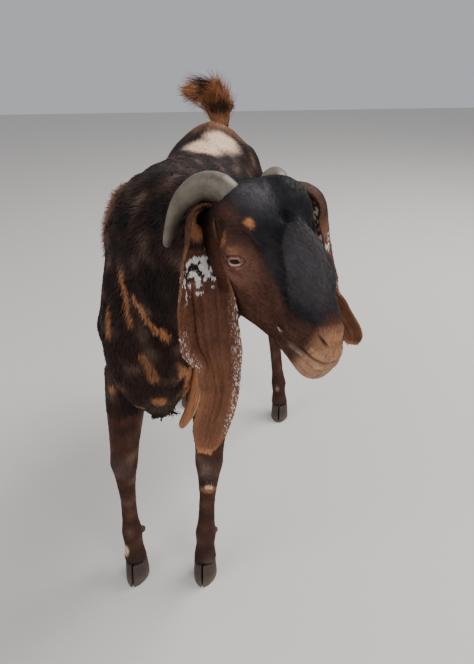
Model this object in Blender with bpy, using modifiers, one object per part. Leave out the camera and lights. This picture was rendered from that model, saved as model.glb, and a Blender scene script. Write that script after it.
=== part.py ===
"""A Sirohi goat buck, life size, standing with its head turned to its own left.

Metres, +Z up, floor at z = 0. The goat looks along -Y and its own left side is +X.
The sizes below are in the goat's own frame, whose middle plane is x = 0. FRAME_SHIFT
then sets the origin under the middle of the whole goat's box.
"""

import math
import random

import bmesh
import bpy
import numpy as np
from mathutils import Euler, Matrix, Vector
from mathutils.bvhtree import BVHTree

FRAME_SHIFT = Vector((-0.086, 0.055, 0.0))

# Gap kept between two pieces that touch
GAP = 0.0003

# Body surface: grid of the soft union, passes of smoothing, and triangles kept
FLESH_GRID = 0.005
FLESH_SMOOTHING = 16
BODY_TRIANGLES = 3700
HEAD_TRIANGLES = 2400

# Trunk sections from brisket to rump:
# y, top z, bottom z, half width, height of the widest place, power above, power below
TRUNK = (
    (-0.345, 0.610, 0.490, 0.040, 0.50, 1.00, 1.00),
    (-0.320, 0.675, 0.450, 0.062, 0.48, 1.05, 1.05),
    (-0.280, 0.745, 0.425, 0.078, 0.44, 1.15, 1.10),
    (-0.220, 0.788, 0.415, 0.092, 0.42, 1.35, 1.10),
    (-0.150, 0.806, 0.412, 0.100, 0.42, 1.45, 1.05),
    (-0.060, 0.797, 0.405, 0.116, 0.44, 1.30, 0.95),
    (0.040, 0.787, 0.398, 0.132, 0.45, 1.15, 0.90),
    (0.130, 0.785, 0.402, 0.138, 0.46, 1.10, 0.90),
    (0.200, 0.796, 0.428, 0.130, 0.50, 1.15, 0.95),
    (0.260, 0.808, 0.470, 0.116, 0.54, 1.30, 1.00),
    (0.320, 0.798, 0.520, 0.104, 0.54, 1.30, 1.00),
    (0.370, 0.772, 0.560, 0.084, 0.54, 1.20, 1.00),
    (0.405, 0.742, 0.600, 0.060, 0.52, 1.00, 1.00),
    (0.422, 0.715, 0.630, 0.034, 0.50, 1.00, 1.00),
)

# Neck from inside the withers to inside the back of the skull:
# centre x, y, z, half width, half depth
NECK = (
    (0.000, -0.150, 0.630, 0.088, 0.150),
    (0.010, -0.215, 0.672, 0.086, 0.140),
    (0.038, -0.268, 0.710, 0.075, 0.113),
    (0.078, -0.305, 0.743, 0.062, 0.086),
    (0.114, -0.334, 0.766, 0.053, 0.070),
    (0.144, -0.358, 0.784, 0.047, 0.060),
)

# Head pose: where the brow stands, and how the head turns to its left, nods and tilts
HEAD_PLACE = Vector((0.164, -0.390, 0.8215))
HEAD_TURN = math.radians(39.2)
HEAD_NOD = math.radians(17.7)
HEAD_TILT = math.radians(5.6)
HEAD_POSE = (Matrix.Translation(HEAD_PLACE)
             @ Euler((HEAD_NOD, HEAD_TILT, HEAD_TURN), 'YXZ').to_matrix().to_4x4())

# Head sections in the head's own frame, from the nape to the nose:
# distance forward, top z, bottom z, half width, height of the widest place, power below
SKULL = (
    (-0.045, -0.020, -0.085, 0.034, 0.60, 1.00),
    (-0.020, 0.010, -0.108, 0.046, 0.62, 1.15),
    (0.004, 0.024, -0.118, 0.0500, 0.66, 1.25),
    (0.031, 0.032, -0.121, 0.0515, 0.68, 1.25),
    (0.058, 0.035, -0.118, 0.0505, 0.66, 1.20),
    (0.084, 0.033, -0.111, 0.0450, 0.62, 1.15),
    (0.110, 0.028, -0.104, 0.0350, 0.58, 1.05),
    (0.137, 0.023, -0.099, 0.0290, 0.55, 1.00),
    (0.163, 0.009, -0.097, 0.0245, 0.52, 0.95),
    (0.184, -0.008, -0.097, 0.0225, 0.48, 0.90),
    (0.200, -0.026, -0.093, 0.0195, 0.46, 0.90),
    (0.210, -0.044, -0.083, 0.0130, 0.50, 1.00),
)

# Soft forms of the head: centre, radii. A centre off the middle plane is mirrored.
HEAD_FORMS = (
    ((0.0350, -0.082, -0.014), (0.024, 0.025, 0.023)),
    ((0.0280, -0.040, -0.076), (0.021, 0.042, 0.040)),
    ((0.0000, -0.113, 0.000), (0.025, 0.068, 0.034)),
    ((0.0000, -0.046, 0.010), (0.040, 0.044, 0.029)),
    ((0.0200, -0.055, 0.010), (0.032, 0.038, 0.031)),
    ((0.0105, -0.192, -0.050), (0.0115, 0.018, 0.020)),
    ((0.0000, -0.182, -0.087), (0.016, 0.024, 0.014)),
    ((0.0165, -0.162, -0.066), (0.010, 0.024, 0.018)),
)

# The brow swells higher on the left, in front of that horn
LEFT_BROW = ((0.0180, -0.055, 0.010), (0.035, 0.044, 0.040))

# The neck is parted from the head by a plane behind the horns and the jaw
NECK_CUT_NORMAL = Vector((0.30, -0.85, 0.43))
NECK_CUT_OFFSET = -0.055

# Eyeball, and the almond opening between the lids
EYE_CENTRE = Vector((0.0405, -0.0870, -0.0155))
EYE_RADIUS = 0.0140
EYE_FACETS = (14, 9)
EYE_LOOK = Vector((0.88, -0.46, 0.10))
LID_THICKNESS = 0.0026
EYE_OPENING = Vector((0.0108, 0.0048, 0.0092))
EYE_OPENING_TILT = math.radians(2)

# Mouth groove and nostrils
MOUTH_CORE = Vector((0.0, -0.182, -0.0700))
MOUTH_SPREAD = math.radians(128)
MOUTH_CORNER_DROP = 0.004
MOUTH_GROOVE = 0.0017
NOSTRIL_CORE = Vector((0.0, -0.185, -0.050))
NOSTRIL_DIRECTION = Vector((0.55, -0.82, 0.12))
NOSTRIL_SIZE = Vector((0.0042, 0.0050, 0.0085))

# Horn centre line in the head's frame (left horn, mirrored for the right), half width
HORN = (
    (0.024, -0.040, 0.000, 0.0170),
    (0.029, -0.026, 0.018, 0.0178),
    (0.038, -0.009, 0.019, 0.0174),
    (0.048, 0.006, 0.009, 0.0150),
    (0.058, 0.015, -0.010, 0.0116),
    (0.065, 0.016, -0.031, 0.0088),
    (0.071, 0.010, -0.050, 0.0068),
    (0.075, 0.004, -0.060, 0.0046),
)
HORN_FLATNESS = 0.82
HORN_RINGS = 11
HORN_RING_DEPTH = 0.04

# Ears hang by their own weight, so their lines are in the goat's frame:
# x, y, z, half of the width along the curl, angle of the curl in degrees
EAR_RIGHT = (
    (0.138, -0.412, 0.801, 0.036, 285),
    (0.136, -0.436, 0.806, 0.040, 280),
    (0.138, -0.446, 0.783, 0.042, 245),
    (0.139, -0.455, 0.757, 0.042, 200),
    (0.141, -0.460, 0.714, 0.040, 140),
    (0.142, -0.460, 0.664, 0.038, 110),
    (0.148, -0.462, 0.610, 0.024, 80),
    (0.135, -0.471, 0.556, 0.0215, 60),
    (0.127, -0.476, 0.524, 0.008, 30),
)
EAR_RIGHT_FACE = Vector((0.16, -0.98, 0.0))
EAR_LEFT = (
    (0.200, -0.358, 0.798, 0.036, 285),
    (0.222, -0.350, 0.810, 0.040, 270),
    (0.244, -0.335, 0.802, 0.042, 250),
    (0.250, -0.317, 0.770, 0.040, 215),
    (0.253, -0.304, 0.738, 0.036, 190),
    (0.260, -0.294, 0.702, 0.034, 165),
    (0.272, -0.286, 0.662, 0.034, 140),
    (0.288, -0.276, 0.624, 0.029, 100),
    (0.304, -0.270, 0.592, 0.023, 60),
    (0.311, -0.266, 0.568, 0.008, 30),
)
EAR_LEFT_FACE = Vector((-0.42, -0.90, 0.0))
EAR_THICKNESS = 0.0026
EAR_STEPS_ALONG = 2
EAR_STEPS_ACROSS = 6

# Leg joints of each side: elbow or hip and stifle, knee or hock, fetlock, foot
LEGS = {
    'foreleg_left': ((0.076, -0.190, 0.470), (0.072, -0.246, 0.288), (0.053, -0.243, 0.098),
                     (0.051, -0.262, 0.030)),
    'foreleg_right': ((-0.076, -0.200, 0.470), (-0.086, -0.262, 0.288), (-0.097, -0.260, 0.098),
                      (-0.089, -0.280, 0.030)),
    'hindleg_left': ((0.072, 0.285, 0.680), (0.106, 0.222, 0.520), (0.130, 0.332, 0.300),
                     (0.152, 0.300, 0.098), (0.157, 0.278, 0.030)),
    'hindleg_right': ((-0.072, 0.290, 0.680), (-0.104, 0.235, 0.520), (-0.112, 0.368, 0.300),
                      (-0.118, 0.334, 0.098), (-0.119, 0.312, 0.030)),
}

# Girths along a leg: joints passed, half width, half depth
FORE_GIRTHS = (
    (0.00, 0.040, 0.062),
    (0.35, 0.037, 0.049),
    (0.70, 0.0305, 0.0340),
    (0.90, 0.0275, 0.0275),
    (1.00, 0.0285, 0.0285),
    (1.10, 0.0240, 0.0235),
    (1.45, 0.0180, 0.0175),
    (1.82, 0.0190, 0.0190),
    (2.00, 0.0235, 0.0235),
    (2.35, 0.0205, 0.0200),
    (2.80, 0.0255, 0.0265),
    (3.00, 0.0270, 0.0290),
)
HIND_GIRTHS = (
    (0.00, 0.050, 0.108),
    (0.55, 0.054, 0.098),
    (1.00, 0.047, 0.074),
    (1.35, 0.037, 0.053),
    (1.72, 0.0265, 0.0350),
    (1.93, 0.0225, 0.0305),
    (2.03, 0.0230, 0.0305),
    (2.16, 0.0205, 0.0245),
    (2.50, 0.0180, 0.0195),
    (2.84, 0.0185, 0.0190),
    (3.00, 0.0230, 0.0235),
    (3.35, 0.0200, 0.0200),
    (3.80, 0.0250, 0.0260),
    (4.00, 0.0265, 0.0285),
)

# Muscles and bones under the skin: centre, radii, turn about X in degrees, both sides
BODY_FORMS = (
    ((0.056, -0.180, 0.640), (0.030, 0.080, 0.140), -16),
    ((0.070, -0.165, 0.530), (0.032, 0.080, 0.075), 0),
    ((0.056, -0.252, 0.575), (0.032, 0.050, 0.060), 0),
    ((0.083, -0.146, 0.472), (0.018, 0.026, 0.030), 0),
    ((0.062, 0.212, 0.736), (0.028, 0.055, 0.026), 0),
    ((0.076, 0.290, 0.640), (0.042, 0.092, 0.120), 12),
    ((0.042, 0.395, 0.700), (0.024, 0.028, 0.030), 0),
)
HOCK_POINT = (0.014, 0.016, 0.030)
HOCK_POINT_PLACE = Vector((0.0, 0.022, 0.016))
SCROTUM_CENTRE = Vector((0.017, 0.285, 0.500))
SCROTUM_RADII = Vector((0.024, 0.028, 0.052))

# Raised tail, bending to the goat's right: centre, half width, half depth
TAIL = (
    (0.000, 0.372, 0.725, 0.024, 0.018),
    (-0.002, 0.402, 0.760, 0.021, 0.017),
    (-0.004, 0.415, 0.790, 0.028, 0.016),
    (-0.010, 0.414, 0.821, 0.033, 0.016),
    (-0.024, 0.404, 0.849, 0.033, 0.015),
    (-0.046, 0.390, 0.862, 0.026, 0.012),
    (-0.070, 0.378, 0.852, 0.013, 0.008),
)
TAIL_CUT_POINT = Vector((0.0, 0.395, 0.772))
TAIL_CUT_NORMAL = Vector((0.0, 0.50, 0.866))

# The neck meets the trunk on a plane from the withers to the point of the chest
CHEST_CUT_POINT = Vector((0.0, -0.170, 0.805))
CHEST_CUT_NORMAL = Vector((0.0, -0.772, 0.636))

# Leg cuts slope outwards and upwards: inner x, outer x, front y, back y, and the
# heights of the four top corners: inner front, inner back, outer front, outer back
FORE_CUT = (0.012, 0.220, -0.380, -0.095, 0.404, 0.404, 0.510, 0.510)
HIND_CUT = (0.042, 0.240, 0.165, 0.480, 0.425, 0.500, 0.560, 0.640)

# Hooves: a claw's sole and top outline, and the plane of the coronet over the foot
CLAW_SOLE_LENGTH = 0.064
CLAW_SOLE_WIDTH = 0.0260
CLAW_TOP_LENGTH = 0.052
CLAW_TOP_WIDTH = 0.0235
CLAW_SOLE_FORWARD = 0.006
CLAW_SPLIT = 0.0014
CORONET_HEIGHT = 0.040
CORONET_SLOPE = 0.28
DEWCLAW_LENGTH = 0.022
DEWCLAW_RADIUS = 0.0085

# Long hair as flat tapering locks: how many, length, half width, lift of the middle
LOCK_HALF_THICKNESS = 0.0016
LOCK_ROOT_DEPTH = 0.005
LOCK_STEPS = 4
TAIL_LOCKS = (16, 0.052, 0.0085)
NECK_LOCKS = (24, 0.060, 0.0100, 0.0036)
BRISKET_LOCKS = (6, 0.046, 0.0075)
# The crest of the neck and the tuft under the brisket, in the goat's own frame
CREST_START = Vector((0.018, -0.225, 0.700))
CREST_END = Vector((0.108, -0.328, 0.766))
CREST_ACROSS = Vector((0.75, 0.62, 0.0))
BRISKET_PLACE = Vector((0.022, -0.315, 0.440))

COLOURS = {
    'coat_dark': ((0.020, 0.011, 0.009, 1.0), 0.70),
    'coat_head': ((0.045, 0.022, 0.015, 1.0), 0.70),
    'coat_tail': ((0.230, 0.110, 0.060, 1.0), 0.75),
    'ear_skin': ((0.090, 0.036, 0.022, 1.0), 0.65),
    'horn': ((0.150, 0.125, 0.095, 1.0), 0.50),
    'hoof': ((0.022, 0.017, 0.018, 1.0), 0.45),
    'eye': ((0.012, 0.008, 0.006, 1.0), 0.08),
}


def clear_scene():
    """Take away what the file opens with."""
    for obj in list(bpy.data.objects):
        bpy.data.objects.remove(obj, do_unlink=True)


def collection(name):
    """A collection of its own for the parts or for the cutters."""
    made = bpy.data.collections.new(name)
    bpy.context.scene.collection.children.link(made)
    return made


def material(name):
    """The plain finish of one kind of surface."""
    found = bpy.data.materials.get(name)
    if found:
        return found
    colour, roughness = COLOURS[name]
    made = bpy.data.materials.new(name)
    made.use_nodes = True
    shader = made.node_tree.nodes['Principled BSDF']
    shader.inputs['Base Color'].default_value = colour
    shader.inputs['Roughness'].default_value = roughness
    shader.inputs['Metallic'].default_value = 0.0
    made.diffuse_color = colour
    return made


def smooth_rows(rows, steps):
    """Rows of numbers read along a smooth curve, with so many steps between two rows."""
    rows = np.asarray(rows, float)
    ends = np.vstack([2 * rows[0] - rows[1], rows, 2 * rows[-1] - rows[-2]])
    read = []
    for first in range(len(rows) - 1):
        a, b, c, d = ends[first:first + 4]
        for step in range(steps):
            t = step / steps
            bend = (2 * a - 5 * b + 4 * c - d) * t * t + (3 * b - a - 3 * c + d) * t ** 3
            read.append(0.5 * (2 * b + (c - a) * t + bend))
    read.append(rows[-1])
    return np.array(read)


def power(value, exponent):
    """A signed power, for sections that are rounder or sharper than an ellipse."""
    return math.copysign(abs(value) ** exponent, value)


def mesh_object(name, vertices, faces, home):
    """One object from its points and faces, with the faces turned outwards."""
    mesh = bpy.data.meshes.new(name)
    mesh.from_pydata([tuple(v) for v in vertices], [], faces)
    shape = bmesh.new()
    shape.from_mesh(mesh)
    bmesh.ops.triangulate(shape, faces=shape.faces)
    bmesh.ops.recalc_face_normals(shape, faces=shape.faces)
    shape.to_mesh(mesh)
    shape.free()
    obj = bpy.data.objects.new(name, mesh)
    home.objects.link(obj)
    return obj


def loft(name, rings, home):
    """A closed solid through rings of equal count, with a fan over each end."""
    sides = len(rings[0])
    vertices = [point for ring in rings for point in ring]
    faces = []
    for row in range(len(rings) - 1):
        for k in range(sides):
            right = (k + 1) % sides
            low, high = row * sides, (row + 1) * sides
            faces.append((low + k, low + right, high + right, high + k))
    for ring, start in ((rings[0], 0), (rings[-1], (len(rings) - 1) * sides)):
        vertices.append(tuple(np.mean(np.asarray(ring, float), axis=0)))
        centre = len(vertices) - 1
        for k in range(sides):
            faces.append((start + k, start + (k + 1) % sides, centre))
    return mesh_object(name, vertices, faces, home)


def tube_rings(rows, sides, side_hint):
    """Elliptic rings square to a curved line: x, y, z, half width, half depth in a row."""
    rings = []
    for i, row in enumerate(rows):
        before = rows[max(i - 1, 0)][:3]
        after = rows[min(i + 1, len(rows) - 1)][:3]
        along = Vector(after - before).normalized()
        side = (side_hint - along * side_hint.dot(along)).normalized()
        deep = along.cross(side)
        centre = Vector(row[:3])
        ring = []
        for k in range(sides):
            angle = 2 * math.pi * k / sides
            ring.append(centre + side * (row[3] * math.cos(angle))
                        + deep * (row[4] * math.sin(angle)))
        rings.append(ring)
    return rings


def ellipsoid(name, centre, radii, home, turn=None, segments=20, rows=12):
    """A closed ellipsoid at its place."""
    shape = bmesh.new()
    bmesh.ops.create_uvsphere(shape, u_segments=segments, v_segments=rows, radius=1.0)
    place = Matrix.Translation(Vector(centre)) @ (turn or Matrix.Identity(4))
    bmesh.ops.transform(shape, matrix=place @ Matrix.Diagonal((*radii, 1.0)), verts=shape.verts)
    mesh = bpy.data.meshes.new(name)
    shape.to_mesh(mesh)
    shape.free()
    obj = bpy.data.objects.new(name, mesh)
    home.objects.link(obj)
    return obj


def hull(name, points, home):
    """The convex solid round a few corner points, as a cutter."""
    shape = bmesh.new()
    for point in points:
        shape.verts.new(point)
    bmesh.ops.convex_hull(shape, input=shape.verts)
    bmesh.ops.recalc_face_normals(shape, faces=shape.faces)
    mesh = bpy.data.meshes.new(name)
    shape.to_mesh(mesh)
    shape.free()
    obj = bpy.data.objects.new(name, mesh)
    home.objects.link(obj)
    hide(obj)
    return obj


def hide(obj):
    """Mark a cutter or a guide."""
    obj.hide_render = True
    obj.display_type = 'WIRE'


def bake(obj):
    """Keep the evaluated mesh and drop the modifiers."""
    graph = bpy.context.evaluated_depsgraph_get()
    mesh = bpy.data.meshes.new_from_object(obj.evaluated_get(graph))
    obj.modifiers.clear()
    old = obj.data
    obj.data = mesh
    bpy.data.meshes.remove(old)


def remove(*objects):
    """Take objects away once they have done their work."""
    for obj in objects:
        bpy.data.objects.remove(obj, do_unlink=True)


def twin(obj, name, home):
    """A copy with a mesh of its own."""
    copy = bpy.data.objects.new(name, obj.data.copy())
    home.objects.link(copy)
    return copy


def boolean(target, tool, operation, solver='EXACT'):
    """Cut or join one solid with another, at once."""
    step = target.modifiers.new(operation, 'BOOLEAN')
    step.operation = operation
    step.object = tool
    step.solver = solver
    bake(target)


def grown(obj, name, home, margin):
    """A copy of a solid whose surface stands off by a margin."""
    copy = twin(obj, name, home)
    step = copy.modifiers.new('margin', 'DISPLACE')
    step.strength = margin
    step.mid_level = 0.0
    bake(copy)
    hide(copy)
    return copy


def keep_largest(obj):
    """Keep only the largest closed surface of a solid."""
    shape = bmesh.new()
    shape.from_mesh(obj.data)
    left = set(shape.verts)
    groups = []
    while left:
        stack = [left.pop()]
        group = []
        while stack:
            vert = stack.pop()
            group.append(vert)
            for edge in vert.link_edges:
                other = edge.other_vert(vert)
                if other in left:
                    left.remove(other)
                    stack.append(other)
        groups.append(group)
    groups.sort(key=len)
    for group in groups[:-1]:
        bmesh.ops.delete(shape, geom=group, context='VERTS')
    bmesh.ops.triangulate(shape, faces=shape.faces)
    shape.to_mesh(obj.data)
    shape.free()


def split_off(whole, name, cutter, home, work):
    """Part a node from the whole by a cutter, and leave the gap in the whole."""
    piece = twin(whole, name, home)
    boolean(piece, cutter, 'INTERSECT')
    keep_largest(piece)
    wide = grown(cutter, name + '_gap', work, GAP * math.sqrt(3))
    boolean(whole, wide, 'DIFFERENCE')
    keep_largest(whole)
    remove(wide, cutter)
    return piece


def finish(obj, material_name):
    """Give a node its finish and round shading."""
    obj.data.materials.clear()
    obj.data.materials.append(material(material_name))
    obj.data.shade_smooth()
    obj.data.set_sharp_from_angle(angle=math.radians(40))


def trunk(work):
    """Chest, barrel and rump in one loft of egg-shaped sections."""
    rings = []
    sides = 28
    for y, top, bottom, half, widest, above, below in smooth_rows(TRUNK, 3):
        middle = bottom + (top - bottom) * widest
        ring = []
        for k in range(sides):
            angle = 2 * math.pi * k / sides
            across, up = math.sin(angle), math.cos(angle)
            height = (top - middle) if up > 0 else (middle - bottom)
            ring.append((half * across, y,
                         middle + height * power(up, above if up > 0 else below)))
        rings.append(ring)
    return loft('trunk', rings, work)


def neck(work):
    """The neck, from between the shoulders to the back of the skull."""
    rows = smooth_rows(NECK, 3)
    return loft('neck_form', tube_rings(rows, 24, Vector((1.0, 0.35, 0.0))), work)


def skull(work):
    """Head sections from the nape to the nose, posed on the neck."""
    rings = []
    sides = 28
    for forward, top, bottom, half, widest, below in smooth_rows(SKULL, 3):
        middle = bottom + (top - bottom) * widest
        ring = []
        for k in range(sides):
            angle = 2 * math.pi * k / sides
            across, up = math.sin(angle), math.cos(angle)
            height = (top - middle) if up > 0 else (middle - bottom)
            width = half * power(across, 0.9 if up > 0 else below)
            ring.append(HEAD_POSE @ Vector((width, -forward, middle + height * up)))
        rings.append(ring)
    return loft('skull', rings, work)


def head_forms(work):
    """Orbits, cheeks, arched nose, brow, nostril wings, chin and lips."""
    made = []
    for number, (centre, radii) in enumerate(HEAD_FORMS):
        for side in ((1, -1) if centre[0] else (1,)):
            form = ellipsoid(f'head_form_{number}', (centre[0] * side, centre[1], centre[2]),
                             radii, work)
            form.data.transform(HEAD_POSE)
            made.append(form)
    lobe = ellipsoid('left_brow', *LEFT_BROW, work)
    lobe.data.transform(HEAD_POSE)
    made.append(lobe)
    return made


def leg_path(joints, girths):
    """The centre line of a leg with its girths, read between the joints."""
    rows = []
    for passed, half_width, half_depth in girths:
        first = min(int(passed), len(joints) - 2)
        share = passed - first
        point = Vector(joints[first]).lerp(Vector(joints[first + 1]), share)
        rows.append((*point, half_width, half_depth))
    return smooth_rows(rows, 3)


def legs(work):
    """Four legs from the elbow or the hip down to the foot."""
    made = []
    for name, joints in LEGS.items():
        fore = name.startswith('fore')
        rows = leg_path(joints, FORE_GIRTHS if fore else HIND_GIRTHS)
        made.append(loft(name + '_form', tube_rings(rows, 18, Vector((1.0, 0.0, 0.0))), work))
        if not fore:
            hock = Vector(joints[2]) + HOCK_POINT_PLACE
            made.append(ellipsoid(name + '_hock', hock, HOCK_POINT, work,
                                  Matrix.Rotation(math.radians(14), 4, 'X')))
    return made


def body_forms(work):
    """Shoulder, upper arm, elbow, hip bone, thigh, seat bone and scrotum."""
    made = []
    for number, (centre, radii, turn) in enumerate(BODY_FORMS):
        for side in (1, -1):
            place = (centre[0] * side, centre[1], centre[2])
            made.append(ellipsoid(f'body_form_{number}', place, radii, work,
                                  Matrix.Rotation(math.radians(turn), 4, 'X')))
    for side in (1, -1):
        place = Vector((SCROTUM_CENTRE.x * side, SCROTUM_CENTRE.y, SCROTUM_CENTRE.z))
        made.append(ellipsoid('scrotum', place, SCROTUM_RADII, work))
    return made


def tail_form(work):
    """The raised tail with its hair, as one smooth form."""
    rows = smooth_rows(TAIL, 3)
    return loft('tail_form', tube_rings(rows, 16, Vector((1.0, 0.0, 0.0))), work)


def join(objects, name, home):
    """Put the meshes of several objects into one."""
    shape = bmesh.new()
    for obj in objects:
        shape.from_mesh(obj.data)
    mesh = bpy.data.meshes.new(name)
    shape.to_mesh(mesh)
    shape.free()
    joined = bpy.data.objects.new(name, mesh)
    home.objects.link(joined)
    remove(*objects)
    return joined


def weld_flesh(forms, work):
    """Melt the forms into one skin."""
    flesh = join(forms, 'flesh', work)
    grid = flesh.modifiers.new('grid', 'REMESH')
    grid.mode = 'VOXEL'
    grid.voxel_size = FLESH_GRID
    soft = flesh.modifiers.new('soft', 'SMOOTH')
    soft.factor = 0.5
    soft.iterations = FLESH_SMOOTHING
    bake(flesh)
    keep_largest(flesh)
    return flesh


def head_side(point):
    """How far a point of the goat lies in front of the plane that parts the neck."""
    local = HEAD_POSE.inverted() @ point
    return local.dot(NECK_CUT_NORMAL.normalized()) - NECK_CUT_OFFSET


def thin_out(flesh, of_head, triangles):
    """Bring the head or the rest of the body down to its share of triangles."""
    group = flesh.vertex_groups.new(name='thin')
    chosen = {v.index for v in flesh.data.vertices if (head_side(v.co) > 0) == of_head}
    group.add(sorted(chosen), 1.0, 'REPLACE')
    now = sum(1 for face in flesh.data.polygons
              if all(index in chosen for index in face.vertices))
    total = len(flesh.data.polygons)
    step = flesh.modifiers.new('thin', 'DECIMATE')
    step.ratio = (total - now + triangles) / total
    step.vertex_group = group.name
    bake(flesh)
    flesh.vertex_groups.clear()


def half_space(name, point, normal, reach, home):
    """A block whose one face lies on a plane, with the block on the normal's side."""
    normal = normal.normalized()
    turn = normal.to_track_quat('Z', 'Y').to_matrix().to_4x4()
    place = Matrix.Translation(point) @ turn
    corners = [place @ Vector((x * reach, y * reach, z * 2 * reach))
               for x in (-1, 1) for y in (-1, 1) for z in (0, 1)]
    return hull(name, corners, home)


def leg_block(name, cut, side, home):
    """A block round one leg whose top slopes up and outwards."""
    inner, outer, front, back, in_front, in_back, out_front, out_back = cut
    below = -0.05
    corners = [(inner, front, below), (inner, back, below), (outer, front, below),
               (outer, back, below), (inner, front, in_front), (inner, back, in_back),
               (outer, front, out_front), (outer, back, out_back)]
    return hull(name, [(x * side, y, z) for x, y, z in corners], home)


def coronet(foot, y):
    """Height of the coronet at a place along the foot."""
    return CORONET_HEIGHT - CORONET_SLOPE * (y - foot.y)


def foot_block(name, foot, lift, home):
    """A block under the coronet of one foot."""
    reach = 0.09
    corners = []
    for x in (foot.x - reach, foot.x + reach):
        for y in (foot.y - reach, foot.y + reach):
            corners.append((x, y, coronet(foot, y) + lift))
            corners.append((x, y, -reach))
    return hull(name, corners, home)


def claw(name, foot, side, home):
    """One claw of a hoof: flat sole and inner wall, round outer wall, pointed toe."""
    outline = []
    steps = 9
    for k in range(steps + 1):
        t = k / steps
        bulge = math.sin(math.pi * min(max(t, 0.02), 0.98)) ** 0.55
        taper = 1.0 - 0.30 * t
        outline.append((bulge * taper, 0.5 - t))
    inner = [(0.0, -0.42), (0.0, -0.15), (0.0, 0.15), (0.0, 0.42)]
    outline = outline[:-1] + [(0.04, -0.5)] + inner
    rings = []
    levels = 2
    for level in range(levels + 1):
        rise = level / levels
        length = CLAW_SOLE_LENGTH + (CLAW_TOP_LENGTH - CLAW_SOLE_LENGTH) * rise
        width = CLAW_SOLE_WIDTH + (CLAW_TOP_WIDTH - CLAW_SOLE_WIDTH) * rise
        forward = CLAW_SOLE_FORWARD * (1 - rise)
        ring = []
        for across, along in outline:
            x = foot.x + side * (CLAW_SPLIT + across * width)
            y = foot.y + along * length - forward
            ring.append((x, y, (coronet(foot, y) - GAP) * rise))
        rings.append(ring)
    return loft(name, rings, home)


def dewclaw(name, fetlock, side, home):
    """A small horny cone behind the fetlock, its root inside the leg."""
    start = Vector((fetlock.x + side * 0.010, fetlock.y + 0.010, fetlock.z - 0.008))
    way = Vector((side * 0.25, 0.80, -0.55)).normalized()
    rows = []
    for share, size in ((0.0, 1.0), (0.45, 1.0), (0.80, 0.80), (1.0, 0.42)):
        point = start + way * (DEWCLAW_LENGTH * share)
        rows.append((*point, DEWCLAW_RADIUS * size * 0.85, DEWCLAW_RADIUS * size))
    return loft(name, tube_rings(np.array(rows), 8, Vector((1.0, 0.0, 0.0))), home)


def horn(name, side, home):
    """A heavy horn that leaves the brow backwards and curls down beside the ear."""
    rows = smooth_rows(HORN, 3)
    count = len(rows) - 1
    shaped = []
    for i, (x, y, z, half) in enumerate(rows):
        swell = 1.0 + HORN_RING_DEPTH * math.cos(2 * math.pi * HORN_RINGS * i / count / 2)
        half = half * (swell if i < count - 2 else 1.0)
        shaped.append((x * side, y, z, half, half * HORN_FLATNESS))
    tip = np.array(shaped[-1])
    way = tip[:3] - np.array(shaped[-2])[:3]
    way = way / np.linalg.norm(way)
    for reach, size in ((0.5, 0.82), (0.85, 0.45)):
        end = tip.copy()
        end[:3] = tip[:3] + way * tip[3] * reach
        end[3:] = tip[3:] * size
        shaped.append(tuple(end))
    rings = tube_rings(np.array(shaped), 10, Vector((0.55 * side, 0.0, 0.83)))
    solid = loft(name, rings, home)
    solid.data.transform(HEAD_POSE)
    return solid


def ear(name, line, face, home):
    """A long hanging ear: a near tube at its root that opens into a folded leaf."""
    rows = smooth_rows(line, EAR_STEPS_ALONG)
    vertices = []
    for i, (x, y, z, half, curl) in enumerate(rows):
        before = rows[max(i - 1, 0)][:3]
        after = rows[min(i + 1, len(rows) - 1)][:3]
        along = Vector(after - before).normalized()
        front = (face - along * face.dot(along)).normalized()
        across = along.cross(front)
        turn = math.radians(max(curl, 10))
        radius = 2 * half / turn
        for k in range(EAR_STEPS_ACROSS + 1):
            angle = (k / EAR_STEPS_ACROSS - 0.5) * turn
            hollow = radius * (math.cos(turn / 4) - math.cos(angle))
            vertices.append(Vector((x, y, z)) + across * (radius * math.sin(angle))
                            + front * hollow)
    faces = []
    width = EAR_STEPS_ACROSS + 1
    for i in range(len(rows) - 1):
        for k in range(EAR_STEPS_ACROSS):
            a = i * width + k
            b = a + 1
            c = a + width
            d = c + 1
            faces.append((a, b, d))
            faces.append((a, d, c))
    mesh = bpy.data.meshes.new(name)
    mesh.from_pydata([tuple(v) for v in vertices], [], faces)
    leaf = bpy.data.objects.new(name, mesh)
    home.objects.link(leaf)
    wall = leaf.modifiers.new('wall', 'SOLIDIFY')
    wall.thickness = EAR_THICKNESS
    wall.offset = 0.0
    bake(leaf)
    shape = bmesh.new()
    shape.from_mesh(leaf.data)
    bmesh.ops.recalc_face_normals(shape, faces=shape.faces)
    bmesh.ops.triangulate(shape, faces=shape.faces)
    shape.to_mesh(leaf.data)
    shape.free()
    return leaf


def eye_turn(side):
    """The turn that points an opening's depth along the look of an eye."""
    look = Vector((EYE_LOOK.x * side, EYE_LOOK.y, EYE_LOOK.z)).normalized()
    front = Vector((0.0, -1.0, 0.0))
    front = (front - look * look.dot(front)).normalized()
    up = front.cross(look) * side
    tilt = EYE_OPENING_TILT
    along = (up * math.sin(tilt) - front * math.cos(tilt)) * side
    rise = up * math.cos(tilt) + front * math.sin(tilt)
    return Matrix((along, rise, look)).transposed().to_4x4()


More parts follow.
